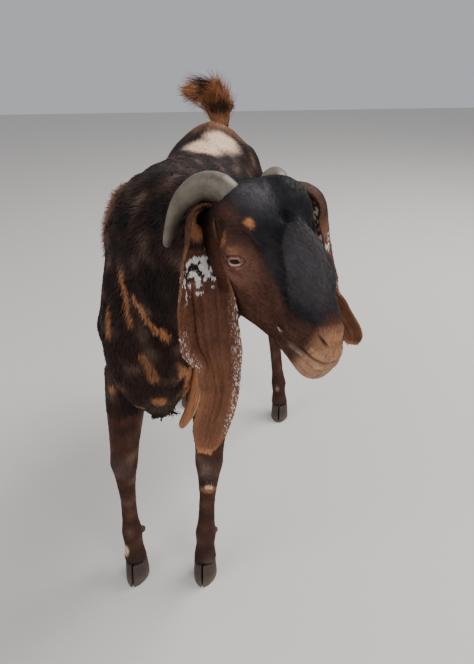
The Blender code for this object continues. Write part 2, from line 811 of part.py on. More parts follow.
def cut_eyes(head, parts, work):
    """Lids round each eyeball, the socket, and the almond opening between the lids."""
    eyes = []
    for side, label in ((1, 'left'), (-1, 'right')):
        centre = Vector((EYE_CENTRE.x * side, EYE_CENTRE.y, EYE_CENTRE.z))
        turn = eye_turn(side)
        outside = EYE_RADIUS + LID_THICKNESS
        lid = ellipsoid('lid', centre, (outside,) * 3, work, turn, 20, 14)
        socket = ellipsoid('socket', centre, (EYE_RADIUS + GAP,) * 3, work, turn,
                           *EYE_FACETS)
        look = turn.to_3x3() @ Vector((0.0, 0.0, 1.0))
        opening = ellipsoid('opening', centre + look * EYE_RADIUS, EYE_OPENING, work, turn, 16, 10)
        eye = ellipsoid('eye_' + label, centre, (EYE_RADIUS,) * 3, parts, turn,
                        *EYE_FACETS)
        for obj in (lid, socket, opening, eye):
            obj.data.transform(HEAD_POSE)
        boolean(head, lid, 'UNION', 'MANIFOLD')
        boolean(head, socket, 'DIFFERENCE', 'MANIFOLD')
        boolean(head, opening, 'DIFFERENCE', 'MANIFOLD')
        remove(lid, socket, opening)
        eyes.append(eye)
    keep_largest(head)
    return eyes


def surface_point(tree, start, way):
    """The outermost place of the head's surface along a ray of the head's own frame."""
    far = HEAD_POSE @ (start + way.normalized() * 0.2)
    back = (HEAD_POSE @ start) - far
    hit = tree.ray_cast(far, back.normalized(), 0.25)[0]
    return HEAD_POSE.inverted() @ hit


def cut_mouth(head, work):
    """The line of the mouth, pressed in round the muzzle from corner to corner."""
    shape = bmesh.new()
    shape.from_mesh(head.data)
    tree = BVHTree.FromBMesh(shape)
    shape.free()
    steps = 16
    rows = []
    for k in range(steps + 1):
        share = 2 * k / steps - 1
        angle = share * MOUTH_SPREAD
        way = Vector((math.sin(angle), -math.cos(angle), 0.0))
        core = MOUTH_CORE - Vector((0.0, 0.0, MOUTH_CORNER_DROP * share * share))
        point = surface_point(tree, core, way)
        size = MOUTH_GROOVE * (1.0 - 0.6 * abs(share) ** 3)
        rows.append((*(point - way * 0.0006), size * 1.6, size))
    rings = tube_rings(np.array(rows), 6, Vector((0.0, 0.2, 0.0)) + Vector((0.0, 0.0, 0.001)))
    groove = loft('mouth', rings, work)
    groove.data.transform(HEAD_POSE)
    boolean(head, groove, 'DIFFERENCE', 'MANIFOLD')
    remove(groove)
    for side in (1, -1):
        way = Vector((NOSTRIL_DIRECTION.x * side, NOSTRIL_DIRECTION.y, NOSTRIL_DIRECTION.z))
        point = surface_point(tree, NOSTRIL_CORE, way)
        lean = Matrix.Rotation(math.radians(-38 * side), 4, 'Y')
        hole = ellipsoid('nostril', point, NOSTRIL_SIZE, work, lean, 12, 8)
        hole.data.transform(HEAD_POSE)
        boolean(head, hole, 'DIFFERENCE', 'MANIFOLD')
        remove(hole)
    keep_largest(head)


def root_on(piece, carrier, work):
    """Cut what grows from a surface clear of it, so that the two meet face to face."""
    room = grown(carrier, piece.name + '_room', work, GAP)
    boolean(piece, room, 'DIFFERENCE', 'MANIFOLD')
    keep_largest(piece)
    remove(room)


def lock(tree, root, lie, size, home):
    """A flat tapering lock that leaves the surface at its root and lies along it."""
    length, half_width, lift = size
    point, normal = tree.find_nearest(root)[:2]
    rings = []
    for step in range(LOCK_STEPS + 1):
        share = step / LOCK_STEPS
        if step:
            point, normal = tree.find_nearest(point + lie * (length / LOCK_STEPS))[:2]
        along = (lie - normal * lie.dot(normal)).normalized()
        side = along.cross(normal)
        height = lift * math.sin(math.pi * (0.25 + 0.75 * share)) + lift * share
        centre = point + normal * (height if step else -LOCK_ROOT_DEPTH)
        width = half_width * (1.0 - 0.88 * share ** 1.6)
        thick = LOCK_HALF_THICKNESS * (1.0 - 0.6 * share)
        rings.append([centre + side * width, centre + normal * thick,
                      centre - side * width, centre - normal * thick])
    return loft('lock', rings, home)


def coat_with(node, locks, work):
    """Fuse a node's locks with it in one union, and keep it one closed body."""
    group = collection(node.name + '_locks')
    for obj in locks:
        work.objects.unlink(obj)
        group.objects.link(obj)
    step = node.modifiers.new('locks', 'BOOLEAN')
    step.operation = 'UNION'
    step.operand_type = 'COLLECTION'
    step.collection = group
    step.solver = 'MANIFOLD'
    bake(node)
    remove(*locks)
    bpy.data.collections.remove(group)
    keep_largest(node)


def surface_of(node):
    """The search tree of a node's surface."""
    shape = bmesh.new()
    shape.from_mesh(node.data)
    tree = BVHTree.FromBMesh(shape)
    shape.free()
    return tree


def tail_locks(tail, work):
    """The brush of the tail: locks along its line on every side, free at the tip."""
    count, length, half_width = TAIL_LOCKS
    rng = random.Random(4)
    rows = smooth_rows(TAIL, 8)
    last = len(rows) - 1
    spacing = float(np.mean(np.linalg.norm(np.diff(rows[:, :3], axis=0), axis=1)))
    made = []
    for i in range(count):
        start = last * (0.34 + 0.56 * i / (count - 1))
        angle = 2.4 * i
        reach = length * rng.uniform(0.8, 1.2) / spacing
        lean = rng.uniform(0.15, 0.40)
        rings = []
        for step in range(LOCK_STEPS + 1):
            share = step / LOCK_STEPS
            place = start + reach * share
            known = min(int(place), last)
            row = rows[known]
            along = Vector(rows[known][:3] - rows[known - 1][:3]).normalized()
            beyond = max(place - last, 0.0) * spacing
            side = (Vector((1.0, 0.0, 0.0)) - along * along.x).normalized()
            deep = along.cross(side)
            out = side * (row[3] * math.cos(angle)) + deep * (row[4] * math.sin(angle))
            droop = Vector((0.0, 0.0, -4.0 * beyond * beyond))
            centre = (Vector(row[:3]) + out * (0.62 + 0.48 * min(2 * share, 1.0) + lean * share)
                      + along * beyond + droop)
            flat = along.cross(out).normalized()
            face = out.normalized()
            width = half_width * (1.0 - 0.88 * share ** 1.6)
            thick = LOCK_HALF_THICKNESS * (1.3 - 0.8 * share)
            rings.append([centre + flat * width, centre + face * thick,
                          centre - flat * width, centre - face * thick])
        made.append(loft('lock', rings, work))
    return made


def neck_locks(neck_node, work):
    """Longer hair over the crest and the sides of the neck, lying back and down."""
    count, length, half_width, lift = NECK_LOCKS
    rng = random.Random(7)
    tree = surface_of(neck_node)
    line = (CREST_END - CREST_START).normalized()
    up = CREST_ACROSS.normalized().cross(line)
    up = up * math.copysign(1.0, up.z)
    made = []
    for i in range(count):
        row, column = i // 6, i % 6
        along = (column + 0.5 * (row % 2) + 0.3) / 6.5
        turn = math.radians((-72, -34, 4, 42)[row] + rng.uniform(-8, 8))
        place = CREST_START.lerp(CREST_END, along)
        out = up * math.cos(turn) + CREST_ACROSS.normalized() * math.sin(turn)
        down = (out.cross(line)).normalized() * (1 if turn < 0 else -1)
        lie = (down * min(1.0, abs(turn) + 0.35) - line * 0.9).normalized()
        size = (length * rng.uniform(0.8, 1.2), half_width * rng.uniform(0.85, 1.15),
                lift * rng.uniform(0.8, 1.3))
        made.append(lock(tree, place + out * 0.12, lie, size, work))
    return made


def brisket_locks(torso, work):
    """A small tuft under the point of the brisket."""
    count, length, half_width = BRISKET_LOCKS
    rng = random.Random(5)
    tree = surface_of(torso)
    made = []
    for i in range(count):
        spread = (i - (count - 1) / 2) * 0.0085
        root = BRISKET_PLACE + Vector((spread, 0.012 * (i % 2), 0.0))
        point = tree.find_nearest(root)[0]
        way = Vector((spread * 9, -0.15 + 0.3 * (i % 2), -1.0)).normalized()
        reach = length * rng.uniform(0.8, 1.2)
        rows = []
        for share, width in ((-0.25, 0.8), (0.0, 1.1), (0.35, 1.0), (0.7, 0.6), (1.0, 0.15)):
            sway = Vector((0.0, 0.005 * math.sin(3 * share), 0.0))
            rows.append((*(point + way * (reach * share) + sway),
                         half_width * width, LOCK_HALF_THICKNESS * (0.4 + width)))
        made.append(loft('tuft', tube_rings(np.array(rows), 4, Vector((1.0, 0.3, 0.0))), work))
    return made


def build():
    """Model the goat and part it into its nodes."""
    clear_scene()
    parts = collection('sirohi_goat')
    work = collection('cutters')

    forms = [trunk(work), neck(work), skull(work), tail_form(work)]
    forms += head_forms(work) + legs(work) + body_forms(work)
    flesh = weld_flesh(forms, work)
    thin_out(flesh, True, HEAD_TRIANGLES)
    thin_out(flesh, False, BODY_TRIANGLES)
    keep_largest(flesh)

    feet = {name: Vector(joints[-1]) for name, joints in LEGS.items()}
    for name, foot in feet.items():
        block = foot_block(name + '_foot', foot, 0.0, work)
        boolean(flesh, block, 'DIFFERENCE')
        remove(block)
    keep_largest(flesh)

    normal = HEAD_POSE.to_3x3() @ NECK_CUT_NORMAL
    point = HEAD_POSE @ (NECK_CUT_NORMAL.normalized() * NECK_CUT_OFFSET)
    head = split_off(flesh, 'head', half_space('head_cut', point, normal, 0.25, work),
                     parts, work)
    neck_node = split_off(flesh, 'neck', half_space('neck_cut', CHEST_CUT_POINT,
                                                    CHEST_CUT_NORMAL, 0.40, work),
                          parts, work)
    tail = split_off(flesh, 'tail', half_space('tail_cut', TAIL_CUT_POINT,
                                               TAIL_CUT_NORMAL, 0.15, work), parts, work)
    limbs = {}
    for name in LEGS:
        side = 1 if name.endswith('left') else -1
        cut = FORE_CUT if name.startswith('fore') else HIND_CUT
        limbs[name] = split_off(flesh, name, leg_block(name + '_cut', cut, side, work),
                                parts, work)
    torso = twin(flesh, 'torso', parts)
    remove(flesh)

    eyes = cut_eyes(head, parts, work)
    cut_mouth(head, work)

    horns = [horn('horn_left', 1, parts), horn('horn_right', -1, parts)]
    ears = [ear('ear_left', EAR_LEFT, EAR_LEFT_FACE, parts),
            ear('ear_right', EAR_RIGHT, EAR_RIGHT_FACE, parts)]
    for piece in horns + ears:
        root_on(piece, head, work)
    for piece, above in zip(ears, horns):
        root_on(piece, above, work)
        root_on(neck_node, above, work)

    claws = []
    for name, foot in feet.items():
        leg = name.replace('leg_', '_')
        fetlock = Vector(LEGS[name][-2])
        for side, label in ((1, 'outer'), (-1, 'inner')):
            across = side if name.endswith('left') else -side
            claws.append(claw(f'hoof_{leg}_{label}', foot, across, parts))
            spur = dewclaw(f'dewclaw_{leg}_{label}', fetlock, across, parts)
            root_on(spur, limbs[name], work)
            claws.append(spur)

    coat_with(tail, tail_locks(tail, work), work)
    coat_with(neck_node, neck_locks(neck_node, work), work)
    root_on(neck_node, torso, work)
    coat_with(torso, brisket_locks(torso, work), work)

    for obj in (torso, neck_node, *limbs.values()):
        finish(obj, 'coat_dark')
    finish(head, 'coat_head')
    finish(tail, 'coat_tail')
    for obj in eyes:
        finish(obj, 'eye')
    for obj in horns:
        finish(obj, 'horn')
    for obj in ears:
        finish(obj, 'ear_skin')
    for obj in claws:
        finish(obj, 'hoof')
    for obj in parts.objects:
        obj.data.transform(Matrix.Translation(FRAME_SHIFT))


build()
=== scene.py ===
"""The looks of a life-size Sirohi goat buck: hide, coat, face, ears, horns, eyes and hooves.

Metres, +Z up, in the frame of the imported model. The goat looks along -Y and turns its
head to its own left, towards +X.
"""

import math

import bmesh
import bpy
import numpy as np
from mathutils import Euler, Matrix, Vector, noise
from mathutils.bvhtree import BVHTree

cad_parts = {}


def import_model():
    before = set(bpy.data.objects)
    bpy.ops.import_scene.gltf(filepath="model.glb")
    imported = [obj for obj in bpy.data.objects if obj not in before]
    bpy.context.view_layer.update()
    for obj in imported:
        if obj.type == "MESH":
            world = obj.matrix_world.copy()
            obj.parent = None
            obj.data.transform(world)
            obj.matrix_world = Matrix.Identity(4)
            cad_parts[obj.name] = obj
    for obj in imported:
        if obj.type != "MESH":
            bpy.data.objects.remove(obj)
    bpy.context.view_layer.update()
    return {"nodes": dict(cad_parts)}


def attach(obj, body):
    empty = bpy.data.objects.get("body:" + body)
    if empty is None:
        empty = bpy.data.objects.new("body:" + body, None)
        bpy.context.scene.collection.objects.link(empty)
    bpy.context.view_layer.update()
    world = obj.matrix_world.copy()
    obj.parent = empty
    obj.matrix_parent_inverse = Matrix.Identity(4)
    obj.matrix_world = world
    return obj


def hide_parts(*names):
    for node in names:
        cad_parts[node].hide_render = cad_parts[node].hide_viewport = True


# The goat's own frame, with its middle plane at x = 0, in the model's frame
GOAT_SHIFT = Vector((-0.086, 0.055, 0.0))

# Photo frame, in pixels, and the camera that took it
PHOTO_HEIGHT = 664
FOCAL_PIXELS = 540
CAMERA_PLACE = Vector((0.262, -0.975, 0.981))
CAMERA_DOWN = math.radians(29.2)
CAMERA_YAW = math.radians(-10.0)
CAMERA_ROLL = math.radians(-2.2)
SENSOR_WIDTH = 36.0

# Head pose: where the brow stands, and its turn to the left, nod and tilt
HEAD_PLACE = Vector((0.164, -0.390, 0.8215))
HEAD_TURN = math.radians(39.2)
HEAD_NOD = math.radians(17.7)
HEAD_TILT = math.radians(5.6)
HEAD = (Matrix.Translation(HEAD_PLACE + GOAT_SHIFT)
        @ Euler((HEAD_NOD, HEAD_TILT, HEAD_TURN), 'YXZ').to_matrix().to_4x4())
HEAD_TURNED = np.array(HEAD.to_3x3())
HEAD_ORIGIN = np.array(HEAD.translation)

FLESH = ('torso', 'neck', 'head', 'tail', 'foreleg_left', 'foreleg_right',
         'hindleg_left', 'hindleg_right')

# Distance at which the points of touching solids are joined
WELD = 1e-5

# Hide: grid, passes of smoothing, faces of the body, and depth under the tips of the coat
HIDE_GRID = 0.0040
HIDE_SMOOTHING = 5
HIDE_BODY_FACES = 38000
DEPTH_BODY = 0.0034
DEPTH_LEG = 0.0016
DEPTH_FACE = 0.0007

# Eyes in the head's frame, the left one; the right one mirrors it
EYE_CENTRE = Vector((0.0402, -0.0875, -0.0152))
EYE_RADIUS = 0.0140
EYE_LOOK = Vector((0.88, -0.46, 0.10))
EYE_TILT = math.radians(-30)
CORNEA_START = 0.72
CORNEA_RISE = 0.0007
LID_LENGTH = 0.0070
LID_UPPER = 0.0022
LID_LOWER = 0.0021
LID_THICKNESS = 0.0013
LID_REACH = 5.5
LID_RIM = 2.3
LID_CORNER = 1.22
EYE_SOCKET_FILL = 1.04

# Folds round the lids: rise, how far out from the opening, width, and above the eye or below
LID_FOLDS = (
    (-0.0019, 2.70, 0.34, True),
    (0.0016, 3.90, 0.80, True),
    (-0.0015, 2.80, 0.34, False),
    (0.0009, 3.60, 0.50, False),
    (-0.0010, 4.50, 0.45, False),
)

# Mouth line in the head's frame: y and z at the front and at the corner, and its bow between
MOUTH_FRONT = (-0.210, -0.0600)
MOUTH_CORNER = (-0.158, -0.0570)
MOUTH_LIFT = 0.0042

# Nostril: its middle, the way it slants, and how long and how narrow it is
NOSTRIL = Vector((0.0112, -0.2012, -0.0374))
NOSTRIL_SLANT = (0.62, 0.78)
NOSTRIL_LENGTH = 0.0070
NOSTRIL_WIDTH = 0.0018

# Pads and hollows on both sides of the face: rise, middle and radii
FACE_PADS = (
    (-0.0016, (0.022, -0.156, -0.058), (0.012, 0.010, 0.010)),
    (0.0022, (0.0145, -0.197, -0.030), (0.010, 0.015, 0.010)),
    (0.0018, (0.0195, -0.190, -0.042), (0.010, 0.014, 0.012)),
    (-0.0018, (0.048, -0.048, -0.012), (0.018, 0.024, 0.024)),
)

# Grooves and ridges on both sides of nose, brow, cheek and jaw: rise, start, end and reach
FACE_FORMS = (
    (-0.0036, (0.021, -0.104, 0.019), (0.026, -0.130, -0.003), 0.010),
    (-0.0034, (0.026, -0.130, -0.003), (0.026, -0.156, -0.038), 0.010),
    (-0.0016, (0.045, -0.112, -0.022), (0.034, -0.145, -0.045), 0.009),
    (0.0020, (0.034, -0.074, 0.018), (0.041, -0.096, 0.004), 0.011),
    (0.0014, (0.044, -0.078, -0.042), (0.030, -0.140, -0.062), 0.012),
    (-0.0018, (0.026, -0.120, -0.086), (0.030, -0.060, -0.112), 0.010),
)

# The same for what runs down the middle or on one side only
MIDDLE_FORMS = (
    (-0.0034, (-0.002, -0.088, 0.034), (-0.021, -0.106, 0.020), 0.009),
    (-0.0066, (0.002, -0.030, 0.052), (-0.002, -0.094, 0.032), 0.011),
    (0.0016, (0.000, -0.112, 0.036), (0.000, -0.160, 0.014), 0.012),
)

# Horn centre line in the head's frame, the left one: x, y, z, half width
HORN = (
    (0.024, -0.040, 0.000, 0.0170),
    (0.029, -0.026, 0.018, 0.0178),
    (0.038, -0.009, 0.019, 0.0174),
    (0.048, 0.006, 0.009, 0.0150),
    (0.058, 0.015, -0.010, 0.0116),
    (0.065, 0.016, -0.031, 0.0088),
    (0.071, 0.010, -0.050, 0.0068),
    (0.075, 0.004, -0.060, 0.0046),
)
HORN_FLATNESS = 0.82
HORN_RINGS = 15
HORN_SIDES = 40
HORN_STEPS = 150
HORN_BLUNT = 0.93
HORN_RING_RISE = 0.016
HORN_GRAIN_RISE = 0.006
HORN_SWAY_RISE = 0.010
HORN_FIT = 0.985

# Ears in the goat's frame: x, y, z, half of the width along the curl, curl in degrees
EAR_RIGHT = (
    (0.138, -0.412, 0.801, 0.036, 285),
    (0.136, -0.436, 0.806, 0.040, 280),
    (0.138, -0.446, 0.783, 0.042, 245),
    (0.139, -0.455, 0.757, 0.042, 200),
    (0.141, -0.460, 0.714, 0.040, 140),
    (0.142, -0.460, 0.664, 0.038, 110),
    (0.148, -0.462, 0.610, 0.024, 80),
    (0.135, -0.471, 0.556, 0.0215, 60),
    (0.127, -0.476, 0.524, 0.008, 30),
)
EAR_RIGHT_FACE = Vector((0.16, -0.98, 0.0))
EAR_LEFT = (
    (0.200, -0.358, 0.798, 0.036, 285),
    (0.222, -0.350, 0.810, 0.040, 270),
    (0.244, -0.335, 0.802, 0.042, 250),
    (0.250, -0.317, 0.770, 0.040, 215),
    (0.253, -0.304, 0.738, 0.036, 190),
    (0.260, -0.294, 0.702, 0.034, 165),
    (0.272, -0.286, 0.662, 0.034, 140),
    (0.288, -0.276, 0.624, 0.029, 100),
    (0.304, -0.270, 0.592, 0.023, 60),
    (0.311, -0.266, 0.568, 0.008, 30),
)
EAR_LEFT_FACE = Vector((-0.42, -0.90, 0.0))
EAR_THICKNESS = 0.0022
EAR_COLUMNS = 44
EAR_ROWS = 130

# Leaf of an ear, in shares of its length and width: the stretch that is folded, and the
# notch of its rim, its two ridges and its valley, each with height, place and reach
EAR_FOLD_START = 0.36
EAR_FOLD_END = 0.70
EAR_NOTCH = (0.36, 0.665, 0.040)
EAR_RIDGE = (0.0046, 0.10, 0.050)
EAR_SECOND_RIDGE = (0.0024, -0.13, 0.022)
EAR_VALLEY = (0.0060, 0.235, 0.028)
EAR_EDGE_LIFT = 0.0085
EAR_FLARE = 0.0016
EAR_RIPPLE = 0.0005
EAR_HEM = 0.020

# Lie of the coat: a place in the goat's frame and the way the hair points there
LIE_OF_BODY = (
    ((0.00, -0.33, 0.56), (0.00, 0.10, -1.00)),
    ((0.10, -0.25, 0.60), (0.05, 0.35, -1.00)),
    ((-0.10, -0.25, 0.60), (-0.05, 0.35, -1.00)),
    ((0.11, -0.15, 0.70), (0.00, 0.60, -0.80)),
    ((-0.11, -0.15, 0.70), (0.00, 0.60, -0.80)),
    ((0.00, -0.12, 0.80), (0.00, 1.00, -0.05)),
    ((0.12, 0.00, 0.62), (0.00, 1.00, -0.42)),
    ((-0.12, 0.00, 0.62), (0.00, 1.00, -0.42)),
    ((0.00, 0.10, 0.79), (0.00, 1.00, 0.00)),
    ((0.13, 0.12, 0.50), (0.00, 0.95, -0.45)),
    ((-0.13, 0.12, 0.50), (0.00, 0.95, -0.45)),
    ((0.00, 0.00, 0.40), (0.00, 1.00, 0.05)),
    ((0.00, 0.33, 0.79), (0.00, 1.00, -0.30)),
    ((0.10, 0.32, 0.64), (0.00, 0.40, -1.00)),
    ((-0.10, 0.32, 0.64), (0.00, 0.40, -1.00)),
    ((0.00, 0.42, 0.66), (0.00, 0.15, -1.00)),
    ((0.06, -0.28, 0.80), (-0.55, 0.75, -0.20)),
    ((0.00, -0.30, 0.76), (-0.55, 0.40, -0.75)),
    ((0.14, -0.30, 0.70), (-0.15, 0.55, -0.85)),
    ((0.05, -0.35, 0.68), (-0.35, 0.10, -1.00)),
    ((0.12, -0.36, 0.72), (-0.55, 0.35, -0.75)),
    ((0.00, 0.41, 0.82), (-0.15, 0.00, 1.00)),
    ((-0.05, 0.39, 0.87), (-1.00, -0.20, 0.10)),
)
LIE_OF_HEAD = (
    ((0.00, -0.210, -0.045), (0.00, 0.30, 1.00)),
    ((0.00, -0.180, 0.000), (0.00, 1.00, 0.50)),
    ((0.00, -0.110, 0.030), (0.00, 1.00, 0.10)),
    ((0.00, -0.050, 0.038), (0.00, 1.00, 0.00)),
    ((0.00, 0.000, 0.030), (0.00, 1.00, -0.30)),
    ((0.03, -0.150, -0.040), (0.15, 1.00, 0.10)),
    ((0.05, -0.110, -0.020), (0.20, 1.00, 0.10)),
    ((0.05, -0.060, 0.005), (0.20, 1.00, -0.10)),
    ((0.05, -0.040, -0.060), (0.05, 1.00, -0.30)),
    ((0.02, -0.120, -0.095), (0.00, 1.00, -0.20)),
    ((0.02, -0.190, -0.085), (0.00, 0.80, -0.80)),
    ((0.00, -0.060, -0.120), (0.00, 1.00, -0.15)),
)
LEG_LIE = Vector((0.0, 0.22, -1.0))

# Muscles, bones and folds under the coat: start, end, reach and rise, mirrored off the middle
BODY_FORMS = (
    ((0.072, -0.120, 0.765), (0.105, -0.200, 0.560), 0.036, 0.0040),
    ((0.100, -0.060, 0.730), (0.116, -0.100, 0.510), 0.036, -0.0042),
    ((0.080, -0.262, 0.575), (0.086, -0.250, 0.535), 0.040, 0.0050),
    ((0.030, -0.320, 0.600), (0.046, -0.300, 0.480), 0.022, -0.0036),
    ((0.095, 0.190, 0.680), (0.105, 0.190, 0.630), 0.058, -0.0070),
    ((0.070, 0.225, 0.772), (0.092, 0.262, 0.742), 0.026, 0.0040),
    ((0.108, 0.290, 0.620), (0.104, 0.350, 0.480), 0.026, -0.0032),
    ((0.112, 0.150, 0.500), (0.104, 0.235, 0.570), 0.030, 0.0040),
    ((0.040, 0.380, 0.720), (0.046, 0.400, 0.690), 0.024, 0.0035),
    ((0.113, -0.030, 0.680), (0.128, 0.010, 0.500), 0.013, 0.0014),
    ((0.114, 0.005, 0.680), (0.130, 0.045, 0.500), 0.013, 0.0015),
    ((0.115, 0.040, 0.675), (0.131, 0.080, 0.500), 0.013, 0.0015),
    ((0.114, 0.075, 0.670), (0.130, 0.115, 0.505), 0.013, 0.0014),
    ((0.112, 0.108, 0.665), (0.126, 0.148, 0.515), 0.013, 0.0012),
)
SPINE = ((0.0, -0.090, 0.810), (0.0, 0.300, 0.800), 0.020, 0.0026)

# Fold of tan skin that hangs down the front of the chest on the goat's left
CHEST_FOLD = ((0.066, -0.296, 0.528), (0.061, -0.290, 0.480), (0.048, -0.272, 0.432))
CHEST_FOLD_REACH = 0.013
CHEST_FOLD_RISE = 0.0085

# Underside of the brisket in the goat's frame: its height, middle, half width and back end,
# and the height above which the gap between the forelegs belongs to it
BRISKET_LOW = 0.432
BRISKET_MIDDLE = 0.002
BRISKET_HALF = 0.046
BRISKET_BACK = -0.20
BRISKET_GAP = 0.34

# Lock of orange hair along the fold, out past the chest: x, y, z, half width
CHEST_LOCK = (
    (0.080, -0.292, 0.550, 0.0050),
    (0.079, -0.298, 0.520, 0.0085),
    (0.073, -0.302, 0.485, 0.0100),
    (0.062, -0.303, 0.450, 0.0090),
    (0.049, -0.302, 0.424, 0.0070),
    (0.043, -0.300, 0.410, 0.0030),
)
CHEST_LOCK_STEPS = 60
CHEST_LOCK_HAIRS = 2600
CHEST_LOCK_WIDE = np.array((0.94, 0.10, -0.32))
CHEST_LOCK_DEEP = np.array((0.10, -0.99, -0.05))
CHEST_LOCK_FLATNESS = 0.7
CHEST_LOCK_HAIR = 0.0006

# Where the legs stand in the goat's frame: knee or hock, fetlock
LEG_LINES = {
    'foreleg_left': ((0.072, -0.246, 0.288), (0.053, -0.243, 0.098)),
    'foreleg_right': ((-0.086, -0.262, 0.288), (-0.097, -0.260, 0.098)),
    'hindleg_left': ((0.130, 0.332, 0.300), (0.152, 0.300, 0.098)),
    'hindleg_right': ((-0.112, 0.368, 0.300), (-0.118, 0.334, 0.098)),
}
FORELEG_TOP = 0.40
HINDLEG_TOP = 0.45
LEG_FADE_TOP = 0.46

# Where the tail begins, and the stretch of belly between fore and hind legs
TAIL_HEIGHT = 0.772
TAIL_START = 0.33
TAIL_SIDE = 0.06
TAIL_SLOPE = 0.577
TAIL_MIDDLE = 0.395
BELLY_HEIGHT = 0.36
BELLY_FRONT = -0.10
BELLY_BACK = 0.20

# Planes that part head and neck, and neck and trunk, as in the solids
NECK_CUT_NORMAL = np.array((0.30, -0.85, 0.43))
NECK_CUT_OFFSET = -0.055
CHEST_CUT_POINT = np.array((0.0, -0.170, 0.805))
CHEST_CUT_NORMAL = np.array((0.0, -0.772, 0.636))

# Coat by region: length, width, spacing and lift of a tuft
COATS = {
    'torso': (0.0150, 0.0013, 0.00215, 0.0017),
    'neck': (0.0170, 0.0013, 0.00195, 0.0020),
    'head': (0.0056, 0.00064, 0.00120, 0.0006),
    'tail': (0.0240, 0.0012, 0.0016, 0.0036),
    'leg': (0.0092, 0.0010, 0.00175, 0.0010),
}

# Width of a blade of hair from root to tip, and the places along the longer ones
SHORT_TAPER = np.array((0.8, 1.0, 0.0))
LONG_TAPER = np.array((0.8, 1.0, 0.85, 0.55, 0.0))
LASH_TAPER = np.array((1.0, 0.9, 0.6, 0.0))
LONG_STEPS = (0.0, 0.25, 0.5, 0.75, 1.0)

# Hair of the ears
EAR_HAIR_SPACING = 0.00122
EAR_HAIR_LENGTH = 0.0034
EAR_HAIR_LIFT = 0.00040
EAR_HAIR_HALF = 0.00046

# Lashes: how many, above the eye or below it, and how long; half their width
LASHES = ((34, 1.0, 0.0042), (20, -1.0, 0.0020))
LASH_HALF = 0.00014

# Tan slashes and patches of the body: start, end, reach and strength
SLASHES = (
    ((-0.011, -0.325, 0.700), (-0.001, -0.337, 0.632), 0.0085, 0.75),
    ((0.008, -0.340, 0.671), (0.026, -0.338, 0.632), 0.0080, 0.85),
    ((0.026, -0.338, 0.632), (0.048, -0.331, 0.606), 0.0085, 0.95),
    ((0.034, -0.338, 0.694), (0.044, -0.336, 0.672), 0.0060, 0.35),
    ((-0.040, -0.325, 0.650), (-0.042, -0.330, 0.610), 0.0110, 0.75),
    ((0.010, -0.345, 0.580), (0.024, -0.343, 0.544), 0.0105, 0.50),
    ((-0.089, -0.260, 0.456), (-0.050, -0.300, 0.464), 0.0120, 0.85),
    ((-0.050, -0.300, 0.464), (-0.010, -0.330, 0.474), 0.0080, 0.60),
    ((0.018, -0.335, 0.500), (0.036, -0.332, 0.474), 0.0120, 0.75),
    ((0.050, -0.310, 0.484), (0.056, -0.300, 0.462), 0.0090, 0.85),
    ((0.050, -0.320, 0.560), (0.058, -0.312, 0.532), 0.0095, 0.80),
    ((0.075, -0.290, 0.600), (0.090, -0.260, 0.540), 0.0100, 0.60),
    ((0.110, -0.150, 0.560), (0.120, -0.080, 0.500), 0.0110, 0.45),
    ((-0.110, -0.100, 0.600), (-0.120, -0.030, 0.520), 0.0110, 0.45),
    ((-0.118, 0.060, 0.620), (-0.126, 0.120, 0.560), 0.0100, 0.35),
)

SEED = 20


def srgb(red, green, blue):
    """A colour read as 0 to 255 on screen, as the linear colour of a material."""
    channels = []
    for value in (red, green, blue):
        share = value / 255
        channels.append(share / 12.92 if share <= 0.04045 else ((share + 0.055) / 1.055) ** 2.4)
    return (*channels, 1.0)


DARK = srgb(22, 12, 11)
BROWN = srgb(100, 64, 49)
BLACK = srgb(24, 22, 25)
# Painted sheen: the grey that glossy black hair shows where it reflects light
PAINTED_SHEEN = srgb(86, 81, 84)
TAN = srgb(170, 114, 76)
PALE = srgb(222, 192, 166)
BARE = srgb(176, 132, 118)
WHITE = srgb(232, 228, 222)


# Helpers

def alone(obj):
    """Select one object only and make it active."""
    bpy.ops.object.select_all(action='DESELECT')
    obj.select_set(True)
    bpy.context.view_layer.objects.active = obj


def modify(obj, kind, **settings):
    """Give an object a modifier and apply it."""
    alone(obj)
    step = obj.modifiers.new(kind.lower(), kind)
    for name, value in settings.items():
        setattr(step, name, value)
    bpy.ops.object.modifier_apply(modifier=step.name)


def placed(name, data):
    """A new object in the scene with this mesh, light or camera."""
    made = bpy.data.objects.new(name, data)
    bpy.context.scene.collection.objects.link(made)
    return made


def rows_of(values, label):
    """Stored places or directions as rows of three numbers."""
    flat = np.empty(len(values) * 3, np.float32)
    values.foreach_get(label, flat)
    return flat.reshape(-1, 3).astype(float)


def points_of(obj):
    """The places of an object's points."""
    return rows_of(obj.data.vertices, 'co')


def move_points(obj, places):
    """Put an object's points in new places."""
    obj.data.vertices.foreach_set('co', np.asarray(places, np.float32).ravel())
    obj.data.update()


def normals_of(obj):
    """The outward direction at each point."""
    return rows_of(obj.data.vertex_normals, 'vector')


def unit(vectors):
    """Rows of vectors at length one."""
    return vectors / np.maximum(np.linalg.norm(vectors, axis=-1, keepdims=True), 1e-12)


def soft(value):
    """A smooth step from 0 to 1."""
    value = np.clip(value, 0.0, 1.0)
    return value * value * (3 - 2 * value)


def bell(value, width):
    """A bell curve: 1 at zero, falling off over a width."""
    return np.exp(-(value / width) ** 2)


def blob(places, centre, radii):
    """How much each place lies in a soft ellipsoid: 1 in the middle, 0 outside."""
    reach = np.linalg.norm((places - np.asarray(centre)) / np.asarray(radii), axis=1)
    return soft(1.0 - reach)


def streak(places, start, end, radius):
    """How much each place lies along a soft line."""
    start, end = np.asarray(start, float), np.asarray(end, float)
    way = end - start
    share = np.clip((places - start) @ way / (way @ way), 0, 1)
    reach = np.linalg.norm(places - start - share[:, None] * way, axis=1)
    return soft(1.0 - reach / radius)


